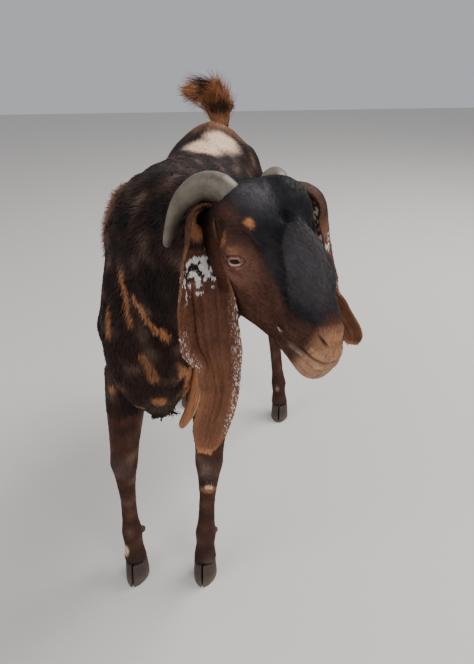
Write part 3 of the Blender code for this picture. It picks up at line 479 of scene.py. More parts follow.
def grain(places, size, seed=0.0):
    """Smooth noise from about -1 to 1 at each place."""
    shift = Vector((seed, seed * 0.7, -seed))
    return np.array([noise.noise(Vector(p) / size + shift) for p in places])


def mirrored(places):
    """Places folded over to the left side of the middle plane."""
    return np.column_stack([np.abs(places[:, 0]), places[:, 1], places[:, 2]])


def to_goat(places):
    """Places of the model in the goat's own frame."""
    return places - np.array(GOAT_SHIFT)


def to_head(places):
    """Places of the model in the head's own frame."""
    return (places - HEAD_ORIGIN) @ HEAD_TURNED


def from_head(places):
    """Places of the head's own frame in the model."""
    return places @ HEAD_TURNED.T + HEAD_ORIGIN


def curve_rows(rows, count):
    """Rows of numbers read evenly along a smooth curve through them."""
    rows = np.asarray(rows, float)
    ends = np.vstack([2 * rows[0] - rows[1], rows, 2 * rows[-1] - rows[-2]])
    read = []
    for place in np.linspace(0, len(rows) - 1, count):
        first = min(int(place), len(rows) - 2)
        t = place - first
        a, b, c, d = ends[first:first + 4]
        bend = (2 * a - 5 * b + 4 * c - d) * t * t + (3 * b - a - 3 * c + d) * t ** 3
        read.append(0.5 * (2 * b + (c - a) * t + bend))
    return np.array(read)


def opened(obj):
    """An object's mesh, opened for work on its faces."""
    shape = bmesh.new()
    shape.from_mesh(obj.data)
    return shape


def closed(shape, mesh):
    """Put finished work into a mesh."""
    shape.to_mesh(mesh)
    shape.free()


def tree_of(obj):
    """The search tree of an object's surface."""
    shape = opened(obj)
    tree = BVHTree.FromBMesh(shape)
    shape.free()
    return tree


def past_neck(head):
    """How far each place of the head's frame lies ahead of the cut between head and neck."""
    return head @ unit(NECK_CUT_NORMAL) - NECK_CUT_OFFSET


def on_legs(region):
    """Whether each place belongs to a leg."""
    return np.char.find(region, 'leg') >= 0


# Hide

def region_of(places):
    """The part of the body that each place belongs to, by name."""
    own = to_goat(places)
    head = to_head(places)
    names = np.full(len(places), 'torso', dtype='U16')
    names[(own - CHEST_CUT_POINT) @ CHEST_CUT_NORMAL > 0] = 'neck'
    names[past_neck(head) > 0] = 'head'
    slope = own[:, 2] + TAIL_SLOPE * (own[:, 1] - TAIL_MIDDLE)
    names[(own[:, 2] > TAIL_HEIGHT) & (own[:, 1] > TAIL_START) & (own[:, 0] < TAIL_SIDE)
          & (slope > TAIL_HEIGHT)] = 'tail'
    for name in LEG_LINES:
        left = name.endswith('left')
        fore = name.startswith('fore')
        low = own[:, 2] < (FORELEG_TOP if fore else HINDLEG_TOP)
        names[low & ((own[:, 0] > 0) == left) & ((own[:, 1] < 0) == fore)] = name
    belly = (own[:, 1] > BELLY_FRONT) & (own[:, 1] < BELLY_BACK)
    names[belly & (own[:, 2] > BELLY_HEIGHT)] = 'torso'
    return names


def mid_chest(own):
    """Whether each place lies near the middle line of the chest."""
    return np.abs(own[:, 0] - BRISKET_MIDDLE) < BRISKET_HALF


def under_chest(own, region):
    """Whether each place lies near that line, on the front of the trunk."""
    return (region == 'torso') & (own[:, 1] < BRISKET_BACK) & mid_chest(own)


def join_flesh(nodes):
    """One welded copy of the nodes of flesh."""
    shape = bmesh.new()
    for name in FLESH:
        shape.from_mesh(nodes[name].data)
    for name, side in (('eye_left', 1), ('eye_right', -1)):
        first = len(shape.verts)
        shape.from_mesh(nodes[name].data)
        shape.verts.ensure_lookup_table()
        middle = Vector(from_head(eye_axes(side)[0]))
        for vert in shape.verts[first:]:
            vert.co = middle + (vert.co - middle) * EYE_SOCKET_FILL
    bmesh.ops.remove_doubles(shape, verts=shape.verts, dist=WELD)
    mesh = bpy.data.meshes.new('hide')
    closed(shape, mesh)
    return placed('hide', mesh)


def thin_body(hide):
    """Keep the head's faces and make the body's fewer."""
    places = points_of(hide)
    front = past_neck(to_head(places)) > -0.01
    group = hide.vertex_groups.new(name='body')
    group.add(np.nonzero(~front)[0].tolist(), 1.0, 'REPLACE')
    total = len(hide.data.polygons) * 2
    body = total * float(np.mean(~front))
    ratio = (total - body + HIDE_BODY_FACES) / total
    modify(hide, 'DECIMATE', ratio=min(1.0, ratio), vertex_group='body')
    hide.vertex_groups.clear()


def refine(hide, chosen):
    """Split the faces whose points are all chosen, and smooth what is new."""
    alone(hide)
    bpy.ops.object.mode_set(mode='EDIT')
    shape = bmesh.from_edit_mesh(hide.data)
    shape.verts.ensure_lookup_table()
    for face in shape.faces:
        face.select_set(False)
    for face in shape.faces:
        if all(chosen[v.index] for v in face.verts):
            face.select_set(True)
    bmesh.update_edit_mesh(hide.data)
    bpy.ops.mesh.subdivide(number_cuts=1, smoothness=0.6, quadcorner='STRAIGHT_CUT')
    bpy.ops.object.mode_set(mode='OBJECT')


def smooth_where(hide, weight, passes):
    """Even out a surface where a weight asks for it."""
    group = hide.vertex_groups.new(name='even')
    for level in (1.0, 0.66, 0.33):
        chosen = np.nonzero((weight > level - 0.33) & (weight <= level + 0.005))[0]
        group.add(chosen.tolist(), level, 'REPLACE')
    modify(hide, 'SMOOTH', factor=0.5, iterations=passes, vertex_group='even')
    hide.vertex_groups.clear()


def eye_axes(side):
    """Eye centre and its three directions in the head's frame: along, up, and out."""
    centre = np.array((EYE_CENTRE.x * side, EYE_CENTRE.y, EYE_CENTRE.z))
    look = Vector((EYE_LOOK.x * side, EYE_LOOK.y, EYE_LOOK.z)).normalized()
    front = Vector((0.0, -1.0, 0.0))
    front = (front - look * look.dot(front)).normalized()
    up = front.cross(look) * side
    along = front * math.cos(EYE_TILT) - up * math.sin(EYE_TILT)
    rise = up * math.cos(EYE_TILT) + front * math.sin(EYE_TILT)
    return centre, np.array(along), np.array(rise), np.array(look)


def almond(along, rise):
    """1 on the edge of the opening between the lids, less inside it, more outside."""
    reach = np.where(rise > 0, LID_UPPER, LID_LOWER)
    across = np.abs(along) / LID_LENGTH
    return np.sqrt(across ** 2.4 + (np.abs(rise) / reach) ** 2)


def lid_ring(along, rise):
    """How far out from the opening a place lies, counted in lid heights, closing at the corners."""
    reach = np.where(rise > 0, LID_UPPER, LID_LOWER)
    across = np.abs(along) / (LID_CORNER * LID_LENGTH)
    return np.sqrt(LID_RIM ** 2 * across ** 2.4 + (np.abs(rise) / reach) ** 2)


def shape_lids(head):
    """Lids over the eyeballs, the opening between them, and the folds round them."""
    for side in (1, -1):
        centre, along, rise, look = eye_axes(side)
        local = head - centre
        a, b, c = local @ along, local @ rise, local @ look
        near = (np.hypot(a, b) < 0.032) & (c > 0)
        edge = almond(a, b)
        flat = np.clip(a * a + b * b, 0, (EYE_RADIUS * 0.98) ** 2)
        ball = np.sqrt(EYE_RADIUS ** 2 - flat)
        ring = lid_ring(a, b)
        thick = LID_THICKNESS + 0.0009 * soft((ring - 1.0) / 1.2)
        lid = np.sqrt(np.maximum((EYE_RADIUS + thick) ** 2 - flat, 0))
        cover = soft((LID_REACH - ring) / 2.5)
        depth = c * (1 - cover) + np.maximum(lid, c - 0.005) * cover
        upper = soft((b + 0.0015) / 0.003)
        depth += 0.0010 * bell(ring - 1.60, 0.45)
        for height, far, wide, above in LID_FOLDS:
            depth += height * bell(ring - far, wide) * (upper if above else 1 - upper)
        depth = np.maximum(depth, ball + 0.0011)
        inside = soft((1.05 - edge) / 0.14)
        depth = depth * (1 - inside) + (ball - 0.0045) * inside
        corner = bell(a - LID_LENGTH - 0.0022, 0.0036) * bell(b + 0.0008, 0.0016)
        depth -= 0.0016 * corner
        back = bell(a + LID_LENGTH + 0.0020, 0.0034) * bell(b, 0.0014)
        depth -= 0.0010 * back
        head[near] += (depth - c)[near, None] * look
    return head


def above_mouth(head):
    """How far above the mouth line each place lies, in the head's frame."""
    (front, low), (corner, high) = MOUTH_FRONT, MOUTH_CORNER
    share = np.clip((head[:, 1] - front) / (corner - front), -0.2, 1.0)
    lift = MOUTH_LIFT * np.sin(math.pi * np.clip(share * 1.25, 0, 1))
    return head[:, 2] - (low + (high - low) * share + lift)


def shape_face(head, out):
    """Muzzle, lips, nostrils, creases and brow, in the head's frame."""
    both = mirrored(head)
    push = np.zeros(len(head))

    fade = soft((-0.150 - head[:, 1]) / 0.014)
    rise = above_mouth(head)
    front = 0.40 + 0.60 * soft((-0.180 - head[:, 1]) / 0.014)
    push -= 0.0042 * fade * front * bell(rise, 0.0012)
    push += 0.0018 * fade * bell(rise - 0.0050, 0.0030)
    push += 0.0014 * fade * bell(rise + 0.0052, 0.0034)
    push -= 0.0030 * fade * streak(both, (0.010, -0.198, -0.080), (0.024, -0.158, -0.074), 0.006)

    # Split of the lip
    middle = bell(head[:, 0], 0.0014)
    push -= 0.0018 * middle * blob(head, (0.0, -0.212, -0.050), (0.03, 0.022, 0.017))

    # Nostril: a slanting comma that runs in and back
    lean = both - np.array(NOSTRIL)
    level, upright = NOSTRIL_SLANT
    turned = level * lean[:, 0] + upright * lean[:, 2]
    square = -upright * lean[:, 0] + level * lean[:, 2]
    bow = square - 0.0009 * (turned / 0.008) ** 2
    hole = soft(1.15 - np.sqrt((turned / NOSTRIL_LENGTH) ** 2 + (bow / NOSTRIL_WIDTH) ** 2))
    hole *= head[:, 1] < -0.184
    push -= 0.0062 * hole

    for height, centre, radii in FACE_PADS:
        push += height * blob(both, centre, radii)
    for height, start, end, reach in FACE_FORMS:
        push += height * streak(both, start, end, reach)
    for height, start, end, reach in MIDDLE_FORMS:
        push += height * streak(head, start, end, reach)

    # Folds that fan out over the upper lip, and creases under the eye
    for number in range(7):
        y = -0.168 - 0.0050 * number
        line = bell(both[:, 1] - y + 0.35 * (rise - 0.006), 0.0009)
        push -= 0.0012 * line * soft((rise - 0.001) / 0.003) * soft((0.019 - rise) / 0.008)
    for number in range(3):
        start = np.array((0.050, -0.108, -0.024 - 0.004 * number))
        push -= 0.0007 * streak(both, start, start + (-0.008, -0.016, -0.009), 0.0030)
    return head + out * push[:, None]


def shape_body(own, out):
    """Bones, muscles, folds and tendons of trunk, neck and legs, in the goat's frame."""
    both = mirrored(own)
    high = own[:, 2] > 0.42
    push = np.zeros(len(own))
    for start, end, reach, rise in BODY_FORMS:
        push += high * rise * streak(both, start, end, reach)
    push += SPINE[3] * streak(own, *SPINE[:3])
    first, second, third = CHEST_FOLD
    fold = np.maximum(streak(own, first, second, CHEST_FOLD_REACH),
                      streak(own, second, third, CHEST_FOLD_REACH))
    push += CHEST_FOLD_RISE * fold
    for number in range(4):
        start = np.array((0.030 + 0.020 * number, -0.330 - 0.012 * number, 0.660 + 0.02 * number))
        push -= 0.0022 * streak(own, start, start + (0.045, 0.012, -0.018), 0.008)
    for name, (joint, fetlock) in LEG_LINES.items():
        joint, fetlock = np.array(joint), np.array(fetlock)
        front = -1.0 if name.startswith('fore') else 1.0
        for side in (1, -1):
            start = joint + (0.016 * side, -0.010 * front, -0.035)
            end = fetlock + (0.011 * side, -0.006 * front, 0.025)
            push -= 0.0016 * streak(own, start, end, 0.008)
            push += 0.0016 * blob(own, joint + (0.014 * side, 0.0, -0.005), (0.012, 0.018, 0.016))
            push += 0.0014 * blob(own, fetlock + (0.012 * side, 0.004, 0.0), (0.010, 0.014, 0.012))
        push += 0.0018 * blob(own, joint + (0.0, 0.020 * front, 0.0), (0.020, 0.014, 0.024))
        push -= 0.0018 * blob(own, joint + (0.0, 0.018 * front, -0.034), (0.020, 0.012, 0.012))
    return own + out * push[:, None]


def coat_depth(places):
    """How deep the hide lies under the solids' surface."""
    head = to_head(places)
    own = to_goat(places)
    ahead = soft((past_neck(head) + 0.01) / 0.03)
    leg = soft((LEG_FADE_TOP - own[:, 2]) / 0.12)
    depth = DEPTH_BODY + (DEPTH_LEG - DEPTH_BODY) * leg
    return depth * (1 - ahead) + DEPTH_FACE * ahead


def eye_distance(head):
    """How far each place is from the nearer eye."""
    return np.minimum(np.linalg.norm(head - eye_axes(1)[0], axis=1),
                      np.linalg.norm(head - eye_axes(-1)[0], axis=1))


def make_hide(nodes):
    """The whole hide as one skin, sculpted finer on the head."""
    hide = join_flesh(nodes)
    modify(hide, 'REMESH', mode='VOXEL', voxel_size=HIDE_GRID)
    modify(hide, 'SMOOTH', factor=0.5, iterations=HIDE_SMOOTHING)
    places = points_of(hide)
    region = region_of(places)
    smooth_where(hide, ((region == 'neck') | (region == 'tail')).astype(float), 14)
    fringe = blob(to_goat(points_of(hide)), (0.022, -0.315, 0.430), (0.085, 0.075, 0.075))
    smooth_where(hide, np.clip(2.5 * fringe, 0, 1), 70)
    head = to_head(points_of(hide))
    face = soft(past_neck(head) / 0.02)
    smooth_where(hide, face, 6)
    thin_body(hide)

    head = to_head(points_of(hide))
    refine(hide, past_neck(head) > 0.01)
    head = to_head(points_of(hide))
    refine(hide, (eye_distance(head) < 0.030) | ((head[:, 1] < -0.160) & (head[:, 2] < 0.0)))
    head = to_head(points_of(hide))
    mouth = np.abs(above_mouth(head)) < 0.004
    refine(hide, (eye_distance(head) < 0.022) | (mouth & (head[:, 1] < -0.155)))

    places = points_of(hide)
    places -= normals_of(hide) * coat_depth(places)[:, None]
    move_points(hide, places)
    places = points_of(hide)
    out = normals_of(hide)
    head = to_head(places)
    face = past_neck(head) > 0
    shaped = head[face]
    shaped = shape_lids(shape_face(shaped, (out @ HEAD_TURNED)[face]))
    places[face] = from_head(shaped)
    places[~face] = shape_body(to_goat(places[~face]), out[~face]) + np.array(GOAT_SHIFT)
    move_points(hide, places)
    places = points_of(hide)
    own = to_goat(places)
    between = mid_chest(own) & (own[:, 2] > BRISKET_GAP)
    brisket = (region_of(places) == 'torso') | between
    brisket &= (own[:, 1] < BRISKET_BACK) & (own[:, 2] < BRISKET_LOW)
    places[brisket, 2] = BRISKET_LOW - 0.15 * (BRISKET_LOW - own[brisket, 2])
    move_points(hide, places)
    smooth_where(hide, brisket.astype(float), 6)
    hide.data.shade_smooth()
    return hide


# Markings

def face_marks(head, broad, fine):
    """Shares of hair colours over the head, with painted sheen, highlights and shade, in the head's
    frame.
    """
    both = mirrored(head)
    side, y, z = both[:, 0], both[:, 1], both[:, 2]
    steps = (-0.205, -0.190, -0.170, -0.150, -0.130, -0.107, -0.088, -0.070, -0.040)
    edge = np.interp(y, steps, (0.008, 0.014, 0.024, 0.029, 0.031, 0.033, 0.035, 0.038, 0.042))
    top = np.interp(y, steps, (-0.028, -0.028, -0.030, -0.028, -0.012, 0.002, 0.010, 0.012, 0.008))
    wide = 0.012 + 0.004 * fine
    black = soft((edge - side + 0.15 * (z - top)) / wide + 0.70)
    black *= soft((z - top) / 0.014 + 0.75)
    black *= soft((y + 0.196 - 0.10 * (z + 0.03) + 0.004 * broad) / 0.012)
    black = np.maximum(black, soft((y + 0.052) / 0.020) * 0.8)
    # Painted sheen: grey over the black on the crown and down the nose bridge, where glossy hair
    # reflects light; the black of the bridge is lightened for the same reason
    crown_sheen = blob(head, (-0.018, -0.060, 0.040), (0.040, 0.050, 0.035))
    bridge_sheen = blob(head, (-0.006, -0.148, 0.006), (0.036, 0.070, 0.052))
    black *= 1 - 0.30 * bridge_sheen * soft(0.5 + 1.3 * fine)
    groove = np.maximum(streak(head, (-0.020, -0.106, 0.020), (-0.026, -0.130, -0.003), 0.011),
                        streak(head, (-0.026, -0.130, -0.003), (-0.026, -0.156, -0.038), 0.010))
    valley = streak(head, (0.002, -0.030, 0.052), (-0.012, -0.098, 0.028), 0.012)
    painted_sheen = np.clip(0.72 * crown_sheen + 0.72 * bridge_sheen + 0.10 * fine + 0.06 * broad, 0, 0.78)
    # Less painted sheen in the groove beside the nose and the valley of the crown: painted shade in
    # these creases
    painted_sheen *= black * (1 - 0.85 * groove) * (1 - 0.7 * valley)
    # Painted highlight: lighter brown on the cheek round the eye
    eye_highlight = blob(both, (0.047, -0.100, -0.030), (0.030, 0.050, 0.045))
    brown = np.clip(0.52 + 0.55 * eye_highlight + 0.22 * broad, 0, 1)
    # Painted shade: the brown darkened at the temple above and behind the eye
    temple_shade = streak(both, (0.050, -0.060, 0.004), (0.036, -0.090, 0.010), 0.016)
    brown *= 1 - 0.6 * temple_shade
    flank = soft((head[:, 0] - 0.006) / 0.016) * soft((-0.105 - y) / 0.03) * soft((z + 0.05) / 0.02)
    black *= 1 - 0.35 * flank

    muzzle = soft((-0.184 - y - 0.30 * (z + 0.050) + 0.005 * broad) / 0.016)
    tan = 0.80 * muzzle
    spots = (((0.0345, -0.081, 0.017), (0.008, 0.010, 0.009), 1.00),
             ((0.030, -0.066, 0.027), (0.006, 0.007, 0.008), 0.30),
             ((0.037, -0.082, -0.082), (0.009, 0.014, 0.020), 0.55),
             ((0.056, -0.070, -0.004), (0.007, 0.010, 0.018), 0.45))
    for centre, radii, amount in spots:
        tan = np.maximum(tan, amount * soft(2.0 * blob(both, centre, radii)))
    black *= 1 - 0.85 * soft(2.0 * blob(both, *spots[0][:2]))
    pink = blob(head, (-0.002, -0.086, 0.033), (0.005, 0.006, 0.010))
    tan = np.maximum(tan, 0.5 * soft(1.6 * pink))
    pale = muzzle * (0.10 + 0.10 * soft((0.004 - z - 0.045) / 0.01))
    pale = np.maximum(pale, 0.7 * soft(2 * blob(both, (0.0255, -0.156, -0.059), (0.004,) * 3)))
    rise = above_mouth(head)
    # Painted shade: the mouth line between the lips darkened towards black, with less tan and pale
    # there
    mouth_line_shade = bell(rise, 0.0013) * soft((-0.178 - y) / 0.016)
    black = np.maximum(black, 0.85 * mouth_line_shade)
    tan *= 1 - 0.85 * mouth_line_shade
    pale *= 1 - mouth_line_shade
    # Painted highlight: a pale band along the bulge of the lower lip
    lips = bell(rise + 0.0060, 0.0030) * soft((-0.170 - y) / 0.012)
    pale = np.maximum(pale, 0.34 * lips * (0.7 + 0.9 * fine))
    tan *= 1 - 0.35 * muzzle * soft(0.5 - 1.6 * fine)
    # Painted shade: the nostril darkened to black inside its opening, with less tan there
    lean = both - np.array(NOSTRIL)
    hole = bell(np.linalg.norm(lean / (0.0046, 0.02, 0.0050), axis=1), 0.9)
    black = np.maximum(black, 0.72 * hole)
    tan *= 1 - 0.65 * hole
    wing = streak(head, (0.012, -0.176, -0.010), (0.020, -0.186, -0.030), 0.010)
    tan = np.maximum(tan, 0.20 * wing)
    # Painted sheen: a lighter, pinker patch on the cheek round the eye; the rims of the lids below
    # are their own bare skin
    bare = 0.20 * soft(1.6 * blob(both, (0.050, -0.100, -0.022), (0.030, 0.040, 0.030)))
    bare *= 0.7 + 0.6 * broad
    for eye in (1, -1):
        centre, along, up, look = eye_axes(eye)
        local = head - centre
        near = (np.linalg.norm(local, axis=1) < 0.032) & (local @ look > 0)
        ahead, above = local @ along, local @ up
        ring = lid_ring(ahead, above)
        rim = soft((2.35 - ring) / 0.45) * np.where(above > 0, 0.75, 1.0)
        bare = np.maximum(bare, near * rim)
        # Painted shade: a dark ring in the crease round the lids
        dark = bell(ring - 2.85, 0.40) * near * (1 - rim)
        black = np.maximum(black, 0.65 * dark)
        brow = bell(ahead + 0.001, 0.0075) * bell(above - 0.0095, 0.0030)
        patch = bell(ahead - 0.0062, 0.0030) * bell(above + 0.0076, 0.0014)
        tan = np.maximum(tan, near * np.maximum(0.50 * brow, 0.60 * patch))
        black *= 1 - 0.7 * near * brow
    return brown, black, tan, pale, painted_sheen, bare


def markings(places, region):
    """Shares of brown, black, tan, pale, painted sheen, bare and white over the whole hide, with
    painted highlights and shade on the face.
    """
    own = to_goat(places)
    broad = grain(places, 0.030, 3.0)
    fine = grain(places, 0.009, 7.0)
    shares = np.zeros((len(places), 7))
    face = region == 'head'
    shares[face, :6] = np.stack(face_marks(to_head(places[face]), broad[face], fine[face]), axis=1)

    body = ~face
    brown = 0.10 + 0.24 * broad
    tan = np.zeros(len(places))
    ragged = own + 0.0035 * np.stack([fine, broad, fine], axis=1)
    for start, end, reach, amount in SLASHES:
        tan = np.maximum(tan, 0.9 * amount * soft(1.45 * streak(ragged, start, end, 1.2 * reach)))
    first, second, third = CHEST_FOLD
    fold = np.maximum(streak(ragged, first, second, 0.017), streak(ragged, second, third, 0.017))
    tan = np.maximum(tan, 0.95 * soft(2.2 * fold))
    side = streak(own, (-0.110, -0.200, 0.740), (-0.112, -0.200, 0.500), 0.070)
    brown = np.maximum(brown, 0.85 * side)
    brown = np.maximum(brown, 0.20 * blob(own, (0.0, -0.300, 0.560), (0.120, 0.10, 0.160)))
    tuft = blob(own, (0.042, -0.268, 0.420), (0.022, 0.030, 0.026))
    tan = np.maximum(tan, soft(1.8 * tuft))
    ruddy = blob(own, (-0.075, -0.220, 0.755), (0.085, 0.110, 0.110))
    brown = np.maximum(brown, 0.80 * soft(1.6 * ruddy + 0.3 * broad))
    haze = blob(own, (-0.060, -0.190, 0.800), (0.060, 0.060, 0.045))
    tan = np.maximum(tan, 0.38 * haze)
    saddle = np.maximum(blob(own, (0.022, 0.110, 0.800), (0.085, 0.075, 0.055)),
                        blob(own, (0.055, 0.170, 0.795), (0.070, 0.075, 0.055)))
    pale = soft(2.3 * saddle + 0.30 * broad)
    rump = blob(own, (0.0, 0.300, 0.800), (0.120, 0.120, 0.100))
    brown = np.maximum(brown, 0.9 * soft(1.6 * rump))
    tan = np.maximum(tan, 0.35 * rump)

    legs = on_legs(region)
    painted_sheen = np.zeros(len(places))
    black = np.zeros(len(places))
    brown = np.where(legs, 0.46 + 0.34 * broad, brown)
    black = np.where(legs, 0.5 * soft((0.10 - own[:, 2]) / 0.06), black)
    for joint, fetlock in LEG_LINES.values():
        # Painted sheen: grey on the front of each knee and hock
        knee = blob(own, np.array(joint) + (0, -0.018, 0.004), (0.030, 0.024, 0.036))
        painted_sheen = np.maximum(painted_sheen, legs * 0.35 * knee)
        black = np.maximum(black, legs * 0.5 * blob(own, fetlock, (0.03, 0.03, 0.04)))
    for centre, radii, amount in (((-0.107, -0.284, 0.069), (0.014, 0.014, 0.018), 0.85),
                                  ((0.072, -0.265, 0.246), (0.012, 0.014, 0.009), 0.85),
                                  ((0.150, 0.270, 0.095), (0.014, 0.016, 0.016), 0.4)):
        pale = np.where(legs, np.maximum(pale, amount * soft(2 * blob(own, centre, radii))), pale)
    band = blob(own, (0.070, -0.262, 0.236), (0.026, 0.026, 0.012))
    tan = np.where(legs, np.maximum(tan, 0.55 * soft(2 * band)), tan)

    tail = region == 'tail'
    dark = np.maximum(blob(own, (-0.026, 0.395, 0.870), (0.026, 0.040, 0.022)),
                      blob(own, (0.000, 0.400, 0.806), (0.034, 0.045, 0.022)))
    tan = np.where(tail, (0.66 + 0.35 * fine) * (1 - 0.95 * soft(1.8 * dark)), tan)
    brown = np.where(tail, 0.75 - 0.55 * soft(1.8 * dark), brown)
    rest = np.stack([brown, black, tan, pale, painted_sheen], axis=1)
    shares[body, :5] = rest[body]
    return np.clip(shares, 0, 1)


def paint(mesh, shares, tone):
    """Store the markings on a mesh, for its material to read."""
    first = mesh.attributes.new('hair_marks', 'FLOAT_COLOR', 'POINT')
    first.data.foreach_set('color', shares[:, :4].astype(np.float32).ravel())
    second = mesh.attributes.new('hair_sheen', 'FLOAT_COLOR', 'POINT')
    rest = np.stack([shares[:, 4], shares[:, 5], tone, shares[:, 6]], axis=1)
    second.data.foreach_set('color', rest.astype(np.float32).ravel())


# Coat

def sparser():
    """How much wider the hair is spaced: here always 1, at full density."""
    return 1.0


def numbers_of(obj, label):
    """One stored number for each point of an object."""
    flat = np.empty(len(obj.data.vertices), np.float32)
    obj.data.attributes[label].data.foreach_get('value', flat)
    return flat.astype(float)


def roots_on(obj, spacing_of, rng):
    """Evenly scattered roots on a surface, with the outward direction at each."""
    mesh = obj.data
    mesh.calc_loop_triangles()
    corners = np.empty(len(mesh.loop_triangles) * 3, np.int32)
    mesh.loop_triangles.foreach_get('vertices', corners)
    corners = corners.reshape(-1, 3)
    places, out = points_of(obj), normals_of(obj)
    a, b, c = places[corners[:, 0]], places[corners[:, 1]], places[corners[:, 2]]
    area = 0.5 * np.linalg.norm(np.cross(b - a, c - a), axis=1)
    wanted = area / spacing_of((a + b + c) / 3) ** 2
    count = np.floor(wanted + rng.random(len(area))).astype(int)
    face = np.repeat(np.arange(len(area)), count)
    first, second = rng.random(len(face)), rng.random(len(face))
    over = first + second > 1
    first[over], second[over] = 1 - first[over], 1 - second[over]
    shares = np.stack([1 - first - second, first, second], axis=1)[:, :, None]
    root = (places[corners[face]] * shares).sum(axis=1)
    normal = unit((out[corners[face]] * shares).sum(axis=1))
    return root, normal


def lie_at(places, normals, region):
    """The way the hair points at each root, flat along the surface."""
    own = to_goat(places)
    total = np.zeros_like(places)
    for spot, way in LIE_OF_BODY:
        weight = 1.0 / (0.0004 + ((own - np.array(spot)) ** 2).sum(axis=1)) ** 2
        total += weight[:, None] * unit(np.array(way))
    ahead = region == 'head'
    head = to_head(places[ahead])
    inner = np.zeros_like(head)
    for spot, way in LIE_OF_HEAD:
        for side in ((1, -1) if spot[0] else (1,)):
            flip = np.array((side, 1, 1))
            weight = 1.0 / (0.0001 + ((head - np.array(spot) * flip) ** 2).sum(axis=1)) ** 2
            inner += weight[:, None] * unit(np.array(way) * flip)
    total[ahead] = inner @ HEAD_TURNED.T
    blend = (soft((LEG_FADE_TOP - own[:, 2]) / 0.10) * on_legs(region))[:, None]
    total = unit(total) * (1 - blend) + np.array(LEG_LIE.normalized()) * blend
    total -= normals * (total * normals).sum(axis=1, keepdims=True)
    return unit(total)


# Unwrap of the hide: corner, width and height on the sheet; middle, axis and half length
ISLANDS = {
    'torso': (0.00, 0.00, 0.48, 0.48, (0.0, 0.05, 0.60), (0.0, 1.0, 0.0), 0.42),
    'neck': (0.50, 0.00, 0.24, 0.30, (0.06, -0.26, 0.70), (0.55, -0.65, 0.52), 0.22),
    'head': (0.50, 0.32, 0.48, 0.40, (0.20, -0.44, 0.75), (0.60, -0.74, -0.30), 0.16),
    'tail': (0.76, 0.00, 0.22, 0.14, (-0.01, 0.40, 0.82), (0.0, 0.1, 1.0), 0.09),
    'foreleg_left': (0.00, 0.50, 0.11, 0.44, (0.06, -0.24, 0.23), (0.0, 0.0, 1.0), 0.26),
    'foreleg_right': (0.12, 0.50, 0.11, 0.44, (-0.09, -0.25, 0.23), (0.0, 0.0, 1.0), 0.26),
    'hindleg_left': (0.24, 0.50, 0.11, 0.44, (0.13, 0.30, 0.25), (0.0, 0.0, 1.0), 0.29),
    'hindleg_right': (0.36, 0.50, 0.11, 0.44, (-0.11, 0.33, 0.25), (0.0, 0.0, 1.0), 0.29),
}
SHEET_MARGIN = 0.005


def unwrap(places, region):
    """Each place on the unwrap: the angle round its part against the way along it."""
    own = to_goat(places)
    uv = np.zeros((len(places), 2))
    for name, (left, low, wide, high, centre, axis, half) in ISLANDS.items():
        here = region == name
        if not here.any():
            continue
        axis = unit(np.array(axis))
        across = np.cross(axis, (0.0, 0.0, 1.0) if abs(axis[2]) < 0.9 else (0.0, 1.0, 0.0))
        across = unit(across)
        third = np.cross(axis, across)
        local = own[here] - np.array(centre)
        turn = np.arctan2(local @ across, local @ third) / (2 * math.pi) + 0.5
        way = np.clip((local @ axis) / (2 * half) + 0.5, 0, 1)
        uv[here] = np.stack([left + SHEET_MARGIN + (wide - 2 * SHEET_MARGIN) * turn,
                             low + SHEET_MARGIN + (high - 2 * SHEET_MARGIN) * way], axis=1)
    return uv


PATCH = 0.003


def blades(name, rows, widths, flat, shares, tone, patch):
    """One mesh of many tapering blades. rows holds the places along each blade."""
    count, steps = rows.shape[0], rows.shape[1]
    half = flat[:, None, :] * widths[:, :, None]
    pairs = np.stack([rows[:, :-1] - half[:, :-1], rows[:, :-1] + half[:, :-1]], axis=2)
    places = np.concatenate([pairs.reshape(count, -1, 3), rows[:, -1:]], axis=1)
    each = places.shape[1]
    pattern = []
    for step in range(steps - 2):
        low, high = 2 * step, 2 * step + 2
        pattern += [(low, low + 1, high + 1), (low, high + 1, high)]
    pattern.append((each - 3, each - 2, each - 1))
    faces = (np.array(pattern)[None] + (np.arange(count) * each)[:, None, None]).reshape(-1, 3)
    mesh = bpy.data.meshes.new(name)
    mesh.vertices.add(count * each)
    mesh.vertices.foreach_set('co', places.astype(np.float32).ravel())
    mesh.loops.add(faces.size)
    mesh.loops.foreach_set('vertex_index', faces.astype(np.int32).ravel())
    mesh.polygons.add(len(faces))
    mesh.polygons.foreach_set('loop_start', np.arange(0, faces.size, 3, dtype=np.int32))
    mesh.polygons.foreach_set('loop_total', np.full(len(faces), 3, np.int32))
    mesh.polygons.foreach_set('use_smooth', np.ones(len(faces), bool))
    layer = mesh.uv_layers.new(name='OFBake')
    corner = np.zeros((each, 2))
    for step in range(steps - 1):
        corner[2 * step] = (-PATCH / 2, PATCH * (step / (steps - 1) - 0.5))
        corner[2 * step + 1] = (PATCH / 2, PATCH * (step / (steps - 1) - 0.5))
    corner[-1] = (0.0, PATCH / 2)
    spread = (patch[:, None, :] + corner[None]).reshape(-1, 2)
    layer.data.foreach_set('uv', spread[faces.ravel()].astype(np.float32).ravel())
    paint(mesh, np.repeat(shares, each, axis=0), np.repeat(tone, each))
    mesh.update()
    return placed(name, mesh)


